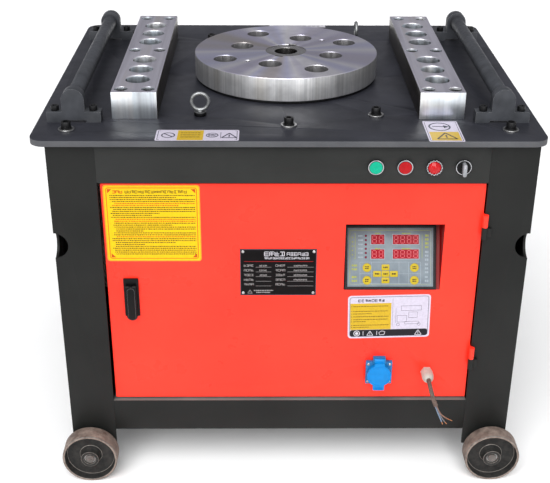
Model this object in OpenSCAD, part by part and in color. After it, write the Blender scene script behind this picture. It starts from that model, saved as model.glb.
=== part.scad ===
// Cabinet-type electric rebar bender: a wheeled sheet-steel cabinet with a thick table on top.
// A slotted working disc turns on a vertical main shaft, driven by a motor, V-belts and a worm gear.
// Frame: +X to the operator's right, -Y towards the operator, +Z up, origin on the floor below the
// middle of the table. Everything is in millimetres.

/* [Table] */
// Width of the table plate
table_w = 1000; // [900:10:1100]
// Depth of the table plate
table_d = 820; // [780:10:900]
// Height of the table's top face over the floor
table_h = 800; // [780:5:840]
// Thickness of the table plate
table_t = 12; // [8:1:16]
// Radius of the table's corners
table_corner_r = 30; // [10:1:60]

/* [Working disc and tooling] */
// Diameter of the working disc
disc_d = 404; // [380:2:430]
// Thickness of the working disc
disc_t = 50; // [40:1:60]
// Gap between the table and the disc
disc_gap = 6; // [4:1:10]
// Distance between neighbouring pin holes in the disc's square grid
disc_pitch = 104; // [96:1:112]
// Angle of the disc's hole grid at rest
disc_angle = -20; // [-45:1:45]
// Diameter of the pin holes in the disc and the tooling blocks
pin_hole_d = 50; // [40:1:54]
// Length of a tooling block
block_l = 578; // [560:2:600]
// Width of a tooling block
block_w = 91; // [84:1:100]
// Distance of a tooling block's middle from the disc's axis
block_x = 308; // [300:1:320]
// Distance between neighbouring pin holes in a tooling block
block_pitch = 68; // [60:1:70]

/* [Cabinet] */
// Width of the cabinet over its legs
cab_w = 960; // [940:10:980]
// Depth of the cabinet over its legs
cab_d = 780; // [760:10:800]
// Sideways place of the cabinet's middle below the table
cab_x = 8; // [0:1:10]
// Width of a leg's two flanges
leg_w = 95; // [80:1:110]
// Sheet thickness of the legs and the front rail
leg_t = 5; // [3:1:8]
// Height of a leg's lower end over the floor
leg_z = 70; // [60:1:80]
// Radius of the lifting notch in a leg's corner
notch_r = 28; // [20:1:35]
// Height of the lifting notches
notch_z = 566; // [500:1:600]

/* [Door] */
// Height of the door's lower edge
door_z0 = 191; // [190:1:210]
// Height of the door's upper edge
door_z1 = 700; // [690:1:700]
// Gap between the door's free edge and its leg
door_gap = 5; // [3:1:6]
// Depth of the door's folded edges
door_fold = 20; // [15:1:25]
// Tilt of the controller's face from upright
panel_tilt = 25; // [10:1:30]

/* [Wheels and rollers] */
// Diameter of a wheel
wheel_d = 120; // [110:1:124]
// Width of a wheel's tread
wheel_w = 36; // [28:1:36]
// Distance of a wheel from the middle between the two axles
wheel_x = 443.5; // [440:0.5:448]
// Diameter of a guide roller
roller_d = 32; // [28:1:44]
// Distance of a guide roller from the disc's axis
roller_x = 426; // [420:1:430]

/* [Drive] */
// Teeth of the worm wheel
wheel_teeth = 60; // [48:4:60]
// Module of the worm gear
gear_m = 4; // [3.8:0.1:4]
// Pitch diameter of the pulley on the worm shaft
big_pulley_d = 200; // [180:2:200]
// Pitch diameter of the pulley on the motor shaft
small_pulley_d = 100; // [90:2:110]

/* [Hidden] */
$fn = 48;
eps = 0.5;              // overlap of a cutter past the face that it cuts

paint = [0.24, 0.24, 0.245];
door_red = [0.93, 0.23, 0.17];
steel = [0.78, 0.78, 0.80];
dark_steel = [0.16, 0.16, 0.17];
zinc = [0.82, 0.82, 0.80];
cast_grey = [0.34, 0.36, 0.38];

// Heights and faces that many parts share
under_table = table_h - table_t;
face_y = -cab_d / 2;
leg_in = cab_w / 2 - leg_w;
rail_z0 = 704;
sill_z0 = 110;
sill_z1 = 187;
pan_t = 6;
floor_z = sill_z0 + pan_t;

// Table fasteners: M12 cap screws and M10 eye bolts
corner_bolt = [435, 348];
centre_bolt_y = 324;
inner_bolt = [178, 265];
m12_r = 6;
m10_r = 5;
bolt_clear = 0.4;
washer_t = 3;
SCREW_PLACES = concat(
    [for (sx = [-1, 1], sy = [-1, 1]) [sx * corner_bolt[0], sy * corner_bolt[1]]],
    [[0, -centre_bolt_y], [0, centre_bolt_y],
     [inner_bolt[0], -inner_bolt[1]], [-inner_bolt[0], inner_bolt[1]]]);
EYE_PLACES = [[-inner_bolt[0], -inner_bolt[1], 0], [inner_bolt[0], inner_bolt[1], 90]];
eye_r = 17.2;
eye_wire_r = 3.8;
eye_z = 28.5;

// Disc, main shaft and their keys
disc_z0 = table_h + disc_gap;
disc_z1 = disc_z0 + disc_t;
head_r = 45;
centre_bore_depth = 70;
head_top = disc_z1 - 1.5;
collar_r = 60;
table_hole_r = 75;
key_w = 18;
key_depth = 11;
key_l = 40;
lift_hole_r = 6;
lift_hole_at = 116;
lift_hole_angle = 63.5;
hole_chamfer = 1.5;

// Tooling blocks: pin holes on the middle line, cap screws in pairs
block_h = disc_z1 - table_h;
block_screw_dx = 27;
block_screw_dy = 267;
m16_r = 8;
counterbore_r = 13;
counterbore_depth = 20;
m10_shank = 34;

// Guide rollers and their brackets
bracket_ys = [-297, 281];
bracket_t = 25;
bracket_w = 107;
bracket_base_h = 22;
upright_w = 45;
roller_z = table_h + 46.5;
journal_r = 10;
bracket_screw_dx = 38;
run_clear = 0.06;

// Wheels and axles
axle_mid = cab_x + 3.5;
foot_inset = 26;
axle_r = 10;
axle_z = wheel_d / 2;
wheel_y = face_y - 6 - wheel_w / 2;
axle_end = -face_y + 42;

// Door
door_face = face_y + 8;
door_t = 2;
hinge_gap = 2;
door_x0 = cab_x - leg_in + door_gap;
door_x1 = cab_x + leg_in - hinge_gap;
cut_x0 = 116;
cut_x1 = 316;
cut_z0 = 459;
cut_z1 = 610;
hinge_x = cab_x + leg_in;
hinge_y = face_y - 6.9;
hinge_r = 5.8;
hinge_pin_r = 3.2;
HINGE_Z = [611, 299];
lock_x = -323.5;
lock_z0 = 399;
lock_z1 = 487;
lock_w = 31;
lever_half = 11;
lock_face = door_face - 4;
lever_pivot_z = 470;
lever_pivot_y = lock_face - 4.5;
lever_tip_z = 393;
plate_x0 = -98;
plate_x1 = 59;
plate_z0 = 447;
plate_z1 = 555;
panel_w = 190;
panel_h = 134;
panel_x = 213;
panel_lip = 6;
sheet = 2;
socket_x = 198.5;
socket_z = 258.5;
socket_face = door_face - 9;
lid_pivot_z = 291.5;
lid_half = 10.8;
lid_pivot_y = socket_face - 1.2;
gland_x = 303;
gland_z = 256;

// Free cord: the points of its middle line, from the gland to its stripped end
cord_r = 4.8;
CORD = [[303, -415, 256], [303, -417, 256], [303.1, -421.4, 255.7], [303.3, -425.8, 254.8],
    [303.7, -430, 253.4], [304.2, -434, 251.4], [304.8, -437.7, 249], [305.6, -441, 246],
    [306.6, -444, 242.7], [307.7, -446.4, 239], [308.9, -448.4, 235], [310.3, -449.8, 230.8],
    [311.9, -450.7, 226.4], [313.6, -451, 222], [314.8, -451, 219], [316, -451, 216]];
core_r = 1.3;
CORES = [
    [[317.41, -450.13, 216.56], [318.61, -450.13, 213.56], [321.5, -450, 206], [326, -450, 197],
     [333, -450, 188.5], [343, -450.5, 181.5], [354, -451, 176]],
    [[314.59, -450.13, 215.44], [315.79, -450.13, 212.44], [319, -450.4, 204], [323.5, -450.8, 193],
     [328, -451, 182.5], [331.5, -451, 174], [334.5, -451, 167]],
    [[316, -452.75, 216], [317.2, -452.75, 213], [320.5, -453, 205.5], [325.5, -453.4, 195],
     [331.5, -453.8, 184.5], [337, -454, 176.5], [342.5, -454, 170]]];

// Push buttons, lamp and selector
CONTROL_X = [169, 226, 283, 340];
control_z = 740;
bezel_r = 15.3;
cap_r = 12.5;
stem_r = 9.5;
stem_clear = 0.08;
bezel_front = face_y - 6.5;
bezel_floor = face_y - 0.9;
cap_back = face_y - 4.5;
barrel_back = face_y + 45;

// Drive
worm_y = wheel_teeth * gear_m / 2 + 25;
worm_z = 665;
worm_pitch = PI * gear_m;
shaft_r = 40;
lower_r = 30;
worm_r = 17.5;
box_x = 165;
box_y0 = -150;
box_y1 = 205;
box_z0 = 600;
wall = 12;
flange_x = 200;
flange_y = 345;
flange_t = 14;
motor_z = floor_z + 112;
motor_r = 104;
motor_shaft_r = 14;
pulley_x = 226;
groove_pitch = 19;
groove_depth = 14;
belt_w = 11.5;
belt_h = 9;
BELTS = [-1, 0, 1];

// --- shapes used more than once ---

// A cylinder along X, Y or Z from one coordinate to another
module rod(axis, from, to, r, fn = 48) {
    turn = axis == "x" ? [0, 90, 0] : axis == "y" ? [-90, 0, 0] : [0, 0, 0];
    shift = axis == "x" ? [from, 0, 0] : axis == "y" ? [0, from, 0] : [0, 0, from];
    translate(shift) rotate(turn) cylinder(h = to - from, r = r, $fn = fn);
}

// A box between two corners
module block(low, high) {
    translate(low) cube([high[0] - low[0], high[1] - low[1], high[2] - low[2]]);
}

// A plate with rounded corners, standing on z = 0
module rounded_plate(w, d, h, r) {
    linear_extrude(h) union() {
        square([w - 2 * r, d], center = true);
        square([w, d - 2 * r], center = true);
        for (sx = [-1, 1], sy = [-1, 1]) translate([sx * (w / 2 - r), sy * (d / 2 - r)]) circle(r);
    }
}

// A round hole from the top down, with a chamfered mouth
module hole_down(top, depth, r, chamfer) {
    translate([0, 0, top - depth]) cylinder(h = depth + eps, r = r);
    translate([0, 0, top - chamfer]) cylinder(h = chamfer + 0.01, r1 = r, r2 = r + chamfer);
}

// A socket head cap screw, head up, standing on z = 0
module cap_screw(r, head_r, head_h, length) {
    difference() {
        union() {
            cylinder(h = head_h, r = head_r);
            translate([0, 0, -length]) cylinder(h = length + eps, r = r);
        }
        translate([0, 0, head_h * 0.45]) cylinder(h = head_h, r = r * 0.95, $fn = 6);
    }
}

// Sweeps a round tube along points, with its rings square to the path
function unit(v) = v / norm(v);
function path_dir(p, i) = unit(p[min(i + 1, len(p) - 1)] - p[max(i - 1, 0)]);
function ring_at(p, i, r, sides) =
    let (t = path_dir(p, i), a = unit(cross([1, 0, 0], t)), b = cross(t, a))
    [for (k = [0 : sides - 1]) p[i] + r * (cos(360 * k / sides) * a + sin(360 * k / sides) * b)];
module swept_tube(p, r, sides) {
    n = len(p);
    pts = [for (i = [0 : n - 1]) each ring_at(p, i, r, sides)];
    walls = [for (i = [0 : n - 2], k = [0 : sides - 1])
        [i * sides + k, i * sides + (k + 1) % sides, (i + 1) * sides + (k + 1) % sides, (i + 1) * sides + k]];
    start = [[for (k = [sides - 1 : -1 : 0]) k]];
    end = [[for (k = [0 : sides - 1]) (n - 1) * sides + k]];
    polyhedron(pts, concat(start, walls, end));
}

// --- table and cabinet ---

module table_plate() {
    color(paint) difference() {
        translate([0, 0, under_table]) rounded_plate(table_w, table_d, table_t, table_corner_r);
        rod("z", under_table - eps, table_h + eps, table_hole_r);
        for (p = SCREW_PLACES) translate([p[0], p[1], 0])
            rod("z", under_table - eps, table_h + eps, m12_r + bolt_clear);
        for (p = EYE_PLACES) translate([p[0], p[1], 0])
            rod("z", under_table - eps, table_h + eps, m10_r + bolt_clear);
        for (sx = [-1, 1], dx = [-1, 1], dy = [-1, 0, 1])
            translate([sx * block_x + dx * block_screw_dx, dy * block_screw_dy, 0])
                rod("z", under_table - eps, table_h + eps, m16_r + bolt_clear);
        for (sx = [-1, 1], y = bracket_ys, dx = [-1, 1])
            translate([sx * roller_x + dx * bracket_screw_dx, y, 0])
                rod("z", under_table - eps, table_h + eps, m10_r + bolt_clear);
    }
}

// An angle-section leg with a top pad, a foot plate and a lifting notch across its outer corner.
// It is drawn for the front right and mirrored for the others.
module leg(sx, sy) {
    x1 = cab_w / 2;
    y0 = face_y;
    color(paint) translate([cab_x, 0, 0]) to_corner(sx, sy) difference() {
        union() {
            block([x1 - leg_w, y0, leg_z], [x1, y0 + leg_t, under_table]);
            block([x1 - leg_t, y0, leg_z], [x1, y0 + leg_w, under_table]);
            block([x1 - leg_w + foot_inset, y0, leg_z], [x1, y0 + leg_w, leg_z + pan_t]);
            block([x1 - leg_w + eps, y0, under_table - 8], [x1, y0 + leg_w, under_table]);
        }
        translate([x1, 0, notch_z]) rod("y", y0 - eps, y0 + leg_t + eps, notch_r);
        translate([0, y0, notch_z]) rod("x", x1 - leg_t - eps, x1 + eps, notch_r);
        translate([corner_bolt[0] - sx * cab_x, -corner_bolt[1], 0])
            rod("z", under_table - 8 - eps, under_table + eps, m12_r + bolt_clear);
    }
}

// Turns its children to the left or to the back
module to_corner(sx, sy) {
    mirror([sx < 0 ? 1 : 0, 0, 0]) mirror([0, sy > 0 ? 1 : 0, 0]) children();
}

module leg_front_left() { leg(-1, -1); }
module leg_front_right() { leg(1, -1); }
module leg_back_left() { leg(-1, 1); }
module leg_back_right() { leg(1, 1); }

module front_top_rail() {
    color(paint) difference() {
        union() {
            block([cab_x - leg_in, face_y, rail_z0], [cab_x + leg_in, face_y + leg_t, under_table]);
            block([cab_x - leg_in, face_y, rail_z0], [cab_x + leg_in, face_y + 25, rail_z0 + 4]);
        }
        for (x = CONTROL_X) translate([x, 0, control_z])
            rod("y", face_y - eps, face_y + leg_t + eps, stem_r + 2);
    }
}

module front_bottom_rail() {
    color(paint) translate([cab_x, 0, 0]) {
        block([-leg_in, face_y, sill_z0], [leg_in, face_y + 4, sill_z1]);
        block([-leg_in, face_y, sill_z1 - 4], [leg_in, face_y + 34, sill_z1]);
    }
}

module side_panels() {
    x1 = cab_w / 2 - leg_t;
    color(paint) translate([cab_x, 0, 0]) for (sx = [-1, 1]) mirror([sx < 0 ? 1 : 0, 0, 0])
        block([x1 - 3, face_y + leg_w - 15, floor_z], [x1, -face_y - leg_w + 15, under_table - 10]);
}

module back_panel() {
    y1 = -face_y - leg_t;
    color(paint) block([cab_x - leg_in - 15, y1 - 3, floor_z], [cab_x + leg_in + 15, y1, under_table - 10]);
}

module base_pan() {
    x1 = cab_w / 2 - leg_t;
    y1 = -face_y - leg_t;
    color(paint) block([cab_x - x1, -y1, sill_z0], [cab_x + x1, y1, floor_z]);
}

// --- wheels ---

module wheel_axles() {
    color(dark_steel) for (sx = [-1, 1]) translate([axle_mid + sx * wheel_x, 0, axle_z])
        rod("y", -axle_end, axle_end, axle_r);
}

// Collars behind the wheels, and retaining rings on the axle ends
module axle_fasteners() {
    hub = wheel_y - wheel_w / 2 + 4;
    color(zinc) for (sx = [-1, 1], side = [-1, 1])
        translate([axle_mid + sx * wheel_x, 0, axle_z]) mirror([0, side > 0 ? 1 : 0, 0]) {
            ring("y", face_y - 4, face_y, axle_r + 6, axle_r + 0.02);
            ring("y", hub - 2.1, hub - 0.6, axle_r + 2, axle_r + 0.02);
        }
}

// A cast wheel with a dished front, a thin rim and a counterbored hub around the axle
module road_wheel(sx, sy) {
    r = wheel_d / 2;
    w = wheel_w / 2;
    color([0.30, 0.28, 0.27]) translate([axle_mid + sx * wheel_x, sy * -wheel_y, axle_z])
        mirror([0, sy > 0 ? 1 : 0, 0]) rotate([90, 0, 0]) rotate_extrude($fn = 96)
            polygon([[axle_r + run_clear, -w - 1.5], [19, -w - 1.5], [21, -6], [r - 8, -6], [r - 6, -w],
                [r, -w], [r, w - 1], [r - 1, w], [r - 5, w], [r - 8, 2], [24, 0], [19.5, 9], [19.5, w + 1],
                [12.5, w + 1], [12.5, w - 4], [axle_r + run_clear, w - 4]]);
}

module wheel_front_left() { road_wheel(-1, -1); }
module wheel_front_right() { road_wheel(1, -1); }
module wheel_back_left() { road_wheel(-1, 1); }
module wheel_back_right() { road_wheel(1, 1); }

// --- door and what is on it ---

module door_panel() {
    back = door_face + door_fold;
    color(door_red) difference() {
        block([door_x0, door_face, door_z0], [door_x1, back, door_z1]);
        block([door_x0 + door_t, door_face + door_t, door_z0 + door_t],
            [door_x1 - door_t, back + eps, door_z1 - door_t]);
        block([cut_x0, door_face - eps, cut_z0], [cut_x1, door_face + door_t + eps, cut_z1]);
        translate([socket_x, 0, socket_z]) rod("y", door_face - eps, door_face + door_t + eps, 22);
        translate([gland_x, 0, gland_z]) rod("y", door_face - eps, door_face + door_t + eps, 9);
        translate([lock_x, 0, lever_pivot_z - 8]) rod("y", door_face - eps, door_face + door_t + eps, 9);
    }
}

// Upper halves of the bullet hinges, each with a strap welded to the door's folded edge
module door_hinge_barrels() {
    strap_t = 1.5;
    color(door_red) for (z = HINGE_Z) difference() {
        union() {
            translate([hinge_x, hinge_y, 0]) rod("z", z + 0.4, z + 27, hinge_r);
            block([door_x1, hinge_y, z + 2], [door_x1 + strap_t, door_face + door_fold, z + 25]);
        }
        translate([hinge_x, hinge_y, 0]) rod("z", z, z + 24, hinge_pin_r + run_clear);
    }
}

// Lower halves of the bullet hinges, each with its pin and a tab welded to the leg
module frame_hinge_barrels() {
    color(dark_steel) for (z = HINGE_Z) {
        translate([hinge_x, hinge_y, 0]) rod("z", z - 26, z, hinge_r);
        translate([hinge_x, hinge_y, 0]) rod("z", z - eps, z + 22, hinge_pin_r);
        block([hinge_x + 2, hinge_y, z - 22], [hinge_x + 14, face_y, z - 3]);
    }
}

module lock_plate() {
    color(dark_steel) difference() {
        union() {
            block([lock_x - lock_w / 2, lock_face, lock_z0], [lock_x + lock_w / 2, door_face, lock_z1]);
            translate([lock_x, 0, lever_pivot_z - 8]) rod("y", door_face - eps, door_face + 16, 8.9);
        }
        translate([lock_x, 0, lever_pivot_z - 8]) rod("y", lock_face - eps, door_face + 17, 6.5 + run_clear);
    }
}

// Spindle through the lock plate, with the lug that carries the lever and the cam behind the door
module lock_cam() {
    z = lever_pivot_z - 8;
    color(zinc) {
        translate([lock_x, 0, z]) rod("y", lock_face, door_face + 27, 6.5);
        block([lock_x - 3, lever_pivot_y - 3, z - 3], [lock_x + 3, lock_face - 0.3, lever_pivot_z + 2]);
        block([lock_x - 3, lever_pivot_y - 3, z - 3], [lock_x + 3, lock_face + 1, z + 4]);
        translate([0, lever_pivot_y, lever_pivot_z]) rod("x", lock_x - lever_half, lock_x + lever_half, 2);
        block([lock_x - 10, door_face + 23, z - 10], [lock_x + 10, door_face + 26, z + 60]);
    }
}

// Swing handle: a bar with two cheeks around the lug, round at its top end and at its tip
module lock_lever() {
    half_t = 4;
    color(dark_steel) translate([lock_x, 0, 0]) difference() {
        intersection() {
            union() {
                block([-lever_half, lever_pivot_y - half_t, lever_tip_z],
                    [lever_half, lever_pivot_y + half_t, lever_pivot_z]);
                translate([0, lever_pivot_y, lever_pivot_z]) rod("x", -lever_half, lever_half, half_t);
            }
            union() {
                block([-lever_half, lever_pivot_y - 9, lever_tip_z + lever_half],
                    [lever_half, lever_pivot_y + 9, lever_pivot_z + 9]);
                translate([0, 0, lever_tip_z + lever_half])
                    rod("y", lever_pivot_y - 9, lever_pivot_y + 9, lever_half);
            }
        }
        block([-3.4, lever_pivot_y - 9, lever_pivot_z - 16], [3.4, lever_pivot_y + 9, lever_pivot_z + 9]);
        translate([0, lever_pivot_y, lever_pivot_z]) rod("x", -lever_half - 1, lever_half + 1, 2 + run_clear);
    }
}

module nameplate() {
    color([0.1, 0.09, 0.08])
        block([plate_x0, door_face - 1, plate_z0], [plate_x1, door_face, plate_z1]);
}

// Puts its children in the controller's own frame: X along its face, Y up the slope and Z out of it,
// with the origin in the middle of its lower front edge
module on_panel() {
    translate([panel_x, door_face - 2, cut_z0 + 2]) rotate([90 - panel_tilt, 0, 0]) children();
}

// Sheet pocket behind the door's cut-out: a sloping plate with a window, two side gussets and a lid
module controller_tray() {
    deep = (cut_z1 - cut_z0) * tan(panel_tilt);
    inside = door_face + door_t;
    length = (cut_z1 - cut_z0) / cos(panel_tilt);
    color(door_red) {
        for (x = [cut_x0 - sheet, cut_x1]) translate([x + sheet, inside, 0]) rotate([0, -90, 0])
            linear_extrude(sheet) polygon([[cut_z0 - 1 - sheet, 0], [cut_z1, 0],
                [cut_z1, deep + panel_lip + 4], [cut_z0 - 1 - sheet, panel_lip + 4]]);
        block([cut_x0 - sheet, inside, cut_z1],
            [cut_x1 + sheet, inside + deep + panel_lip + 4, cut_z1 + sheet]);
        block([cut_x0, inside, cut_z0 - 1 - sheet], [cut_x1, inside + panel_lip, cut_z0 - 1]);
        intersection() {
            on_panel() difference() {
                block([cut_x0 - panel_x, -2, -panel_lip - sheet], [cut_x1 - panel_x, length, -panel_lip]);
                block([-panel_w / 2 + 4, 4, -20], [panel_w / 2 - 4, panel_h - 4, 20]);
            }
            block([cut_x0, inside, cut_z0 - 1], [cut_x1, inside + 200, cut_z1]);
        }
    }
}

module controller_housing() {
    color(dark_steel) on_panel() {
        difference() {
            block([-panel_w / 2, 0, -panel_lip], [panel_w / 2, panel_h, 0]);
            block([-panel_w / 2 + 6, 6, -1.5], [panel_w / 2 - 6, panel_h - 6, eps]);
        }
        block([-panel_w / 2 + 5, 5, -60], [panel_w / 2 - 5, panel_h - 5, -panel_lip]);
    }
}

// One flexible overlay with its domed keys and display windows, bonded into the housing
module controller_panel() {
    color([0.42, 0.50, 0.58]) on_panel()
        block([-panel_w / 2 + 6, 6, -1.5], [panel_w / 2 - 6, panel_h - 6, -0.5]);
}

// Panel socket with a round well, and the two lugs and the pin that carry its lid
module socket_base() {
    color([0.10, 0.62, 0.93]) {
        difference() {
            union() {
                block([socket_x - 28, socket_face, socket_z - 27], [socket_x + 28, door_face, socket_z + 27]);
                translate([socket_x, 0, socket_z]) rod("y", door_face, door_face + 26, 21.5);
            }
            translate([socket_x, 0, socket_z]) rod("y", socket_face - eps, door_face + 22, 19);
        }
        for (sx = [-1, 1]) translate([socket_x + sx * (lid_half + 1.4), 0, 0])
            block([-1, lid_pivot_y - 3, socket_z + 25.5], [1, door_face, lid_pivot_z + 5]);
        block([socket_x - lid_half - 1, lid_pivot_y + 4.5, socket_z + 25.5],
            [socket_x + lid_half + 1, door_face, lid_pivot_z + 5]);
        translate([0, lid_pivot_y, lid_pivot_z])
            rod("x", socket_x - lid_half - 1, socket_x + lid_half + 1, 1.5);
    }
}

module socket_lid() {
    back = socket_face - 0.5;
    front = back - 10;
    color([0.10, 0.65, 0.96]) difference() {
        union() {
            translate([socket_x, 0, socket_z - 2]) rod("y", front, back, 26);
            block([socket_x - lid_half, front, socket_z + 10], [socket_x + lid_half, back, lid_pivot_z - 4]);
            translate([0, lid_pivot_y, lid_pivot_z]) rod("x", socket_x - lid_half, socket_x + lid_half, 4);
            block([socket_x - lid_half, lid_pivot_y - 4, lid_pivot_z - 6],
                [socket_x + lid_half, back, lid_pivot_z]);
            block([socket_x - 12, front, socket_z - 38], [socket_x + 12, back, socket_z - 20]);
        }
        translate([0, lid_pivot_y, lid_pivot_z])
            rod("x", socket_x - lid_half - 1, socket_x + lid_half + 1, 1.5 + run_clear);
        translate([socket_x, 0, socket_z - 2]) rod("y", front + 3, back + eps, 21);
    }
}

// Cable gland: a flange, a domed nut in front and a lock nut behind the sheet
module cable_gland() {
    color([0.92, 0.89, 0.84]) translate([gland_x, 0, gland_z]) rotate([90, 0, 0])
        translate([0, 0, -door_face]) rotate_extrude()
            polygon([[0, -10], [13, -10], [13, -door_t], [8.5, -door_t], [8.5, 0], [13, 0], [13, 6],
                [12.6, 22], [11, 28], [8, 32], [6, 33], [0, 33]]);
}

module power_cord() {
    color([0.44, 0.39, 0.36]) swept_tube(CORD, cord_r, 10);
}

module cord_cores() {
    color([0.60, 0.68, 0.80]) for (p = CORES) swept_tube(p, core_r, 8);
}

// --- controls on the front rail ---

module control_bezels() {
    color([0.85, 0.85, 0.86]) for (x = CONTROL_X) translate([x, 0, control_z]) difference() {
        union() {
            rod("y", bezel_front, face_y, bezel_r);
            rod("y", face_y - eps, barrel_back, stem_r + 1.9);
        }
        rod("y", bezel_front - eps, bezel_floor, cap_r + stem_clear);
        rod("y", face_y - 2, barrel_back + eps, stem_r + stem_clear);
    }
}

// A cap that fills the bezel and a stem that slides or turns in the barrel
module cap_and_stem(x) {
    translate([x, 0, control_z]) {
        rod("y", bezel_front - 1.5, cap_back, cap_r);
        rod("y", cap_back - 1, barrel_back - 5, stem_r);
    }
}

module green_button() { color([0.0, 0.75, 0.60]) cap_and_stem(CONTROL_X[0]); }
module red_button() { color([0.90, 0.10, 0.12]) cap_and_stem(CONTROL_X[1]); }

module lamp_lens() {
    dome_r = 16;
    color([0.95, 0.15, 0.15]) translate([CONTROL_X[2], 0, control_z]) {
        rod("y", bezel_front - 2, bezel_floor, cap_r);
        intersection() {
            rod("y", bezel_front - 12, bezel_front - 1.9, cap_r);
            translate([0, bezel_front - 2 + sqrt(dome_r * dome_r - cap_r * cap_r), 0]) sphere(dome_r);
        }
    }
}

module selector_knob() {
    color([0.72, 0.72, 0.72]) {
        cap_and_stem(CONTROL_X[3]);
        block([CONTROL_X[3] - 4, bezel_front - 13, control_z - 13],
            [CONTROL_X[3] + 4, bezel_front - 1, control_z + 13]);
    }
}

module contact_blocks() {
    color([0.15, 0.35, 0.25]) for (x = CONTROL_X)
        block([x - 15, barrel_back, control_z - 20], [x + 15, barrel_back + 32, control_z + 20]);
}

// --- tooling on the table ---

module tooling_block(sx) {
    color(steel) translate([sx * block_x, 0, 0]) difference() {
        block([-block_w / 2, -block_l / 2, table_h], [block_w / 2, block_l / 2, table_h + block_h]);
        for (k = [1 : 3], side = [-1, 1]) translate([0, side * k * block_pitch, 0])
            hole_down(table_h + block_h, block_h + eps, pin_hole_d / 2, 2);
        for (dx = [-1, 1], dy = [-1, 0, 1])
            translate([dx * block_screw_dx, dy * block_screw_dy, 0]) {
                hole_down(table_h + block_h, counterbore_depth, counterbore_r, 0.6);
                rod("z", table_h - eps, table_h + block_h, m16_r + bolt_clear);
            }
    }
}

module tooling_block_left() { tooling_block(-1); }
module tooling_block_right() { tooling_block(1); }

// M16 screws in the blocks' counterbores and M10 screws on the bracket feet
module tooling_screws() {
    color(dark_steel) {
        for (sx = [-1, 1], dx = [-1, 1], dy = [-1, 0, 1])
            translate([sx * block_x + dx * block_screw_dx, dy * block_screw_dy,
                table_h + block_h - counterbore_depth]) cap_screw(m16_r, 12, 16, 50);
        for (sx = [-1, 1], y = bracket_ys, dx = [-1, 1])
            translate([sx * roller_x + dx * bracket_screw_dx, y, table_h + bracket_base_h])
                cap_screw(m10_r, 8, 10, m10_shank);
    }
}

// M12 screws on spring washers and large flat washers
module table_screws() {
    for (p = SCREW_PLACES) translate([p[0], p[1], table_h]) {
        color(zinc) difference() {
            cylinder(h = washer_t, r = 16);
            translate([0, 0, -eps]) cylinder(h = washer_t + 2 * eps, r = m12_r + 0.05);
        }
        color(dark_steel) translate([0, 0, washer_t]) {
            cap_screw(m12_r, 9.3, 14, 26);
        }
    }
}

module eye_bolts() {
    color(zinc) for (p = EYE_PLACES) translate([p[0], p[1], table_h]) rotate([0, 0, p[2]]) {
        translate([0, 0, eye_z]) rotate([90, 0, 0]) rotate_extrude($fn = 64)
            translate([eye_r, 0]) circle(eye_wire_r, $fn = 24);
        cylinder(h = 8, r = 12.5);
        cylinder(h = eye_z - eye_r + 1, r = 6);
        translate([0, 0, -24]) cylinder(h = 25, r = m10_r);
    }
}

module roller(sx) {
    y0 = bracket_ys[0] + bracket_t / 2;
    y1 = bracket_ys[1] - bracket_t / 2;
    color(paint) translate([sx * roller_x, 0, roller_z]) {
        rod("y", y0 + 1, y1 - 1, roller_d / 2);
        rod("y", y0 - 15, y1 + 15, journal_r);
    }
}

module roller_left() { roller(-1); }
module roller_right() { roller(1); }

// A foot with a relief below it and a round-topped upright with a blind bore for the journal
module roller_bracket() {
    block_top = table_h + bracket_base_h;
    t = bracket_t / 2;
    difference() {
        union() {
            block([-bracket_w / 2, -t, table_h], [bracket_w / 2, t, block_top]);
            block([-upright_w / 2, -t, block_top - eps], [upright_w / 2, t, roller_z]);
            translate([0, 0, roller_z]) rod("y", -t, t, upright_w / 2);
        }
        block([-25, -t - eps, table_h - eps], [25, t + eps, table_h + 4.5]);
        translate([0, 0, roller_z]) rod("y", t - 17, t + eps, journal_r + run_clear);
        for (dx = [-1, 1]) translate([dx * bracket_screw_dx, 0, 0])
            rod("z", table_h - eps, block_top + eps, m10_r + bolt_clear);
    }
}

module roller_brackets() {
    color(paint) for (sx = [-1, 1], i = [0, 1])
        translate([sx * roller_x, bracket_ys[i], 0]) mirror([0, i, 0]) roller_bracket();
}

// --- disc and main shaft ---

module key_slots(grow) {
    for (a = [0, 180]) rotate([0, 0, a])
        block([-key_w / 2 - grow, head_r - key_depth / 2, head_top - key_l],
            [key_w / 2 + grow, head_r + key_depth / 2 + grow, disc_z1 + eps]);
}

module working_disc() {
    r = disc_d / 2;
    color(steel) rotate([0, 0, disc_angle]) difference() {
        rotate_extrude($fn = 180) polygon([[head_r, disc_z0], [r - 1, disc_z0], [r, disc_z0 + 1],
            [r, disc_z1 - 1.2], [r - 1.2, disc_z1], [head_r + 1, disc_z1], [head_r, disc_z1 - 1]]);
        for (i = [-1, 0, 1], j = [-1, 0, 1]) if (i != 0 || j != 0)
            translate([i * disc_pitch, j * disc_pitch, 0])
                hole_down(disc_z1, disc_t + eps, pin_hole_d / 2, hole_chamfer);
        for (a = [lift_hole_angle, lift_hole_angle + 180]) rotate([0, 0, a])
            translate([lift_hole_at, 0, 0]) hole_down(disc_z1, 25, lift_hole_r, 2);
        key_slots(0.05);
    }
}

module shaft_keys() {
    color(cast_grey) rotate([0, 0, disc_angle]) for (a = [0, 180]) rotate([0, 0, a])
        block([-key_w / 2, head_r - key_depth / 2, head_top - key_l],
            [key_w / 2, head_r + key_depth / 2, head_top]);
}

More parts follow.
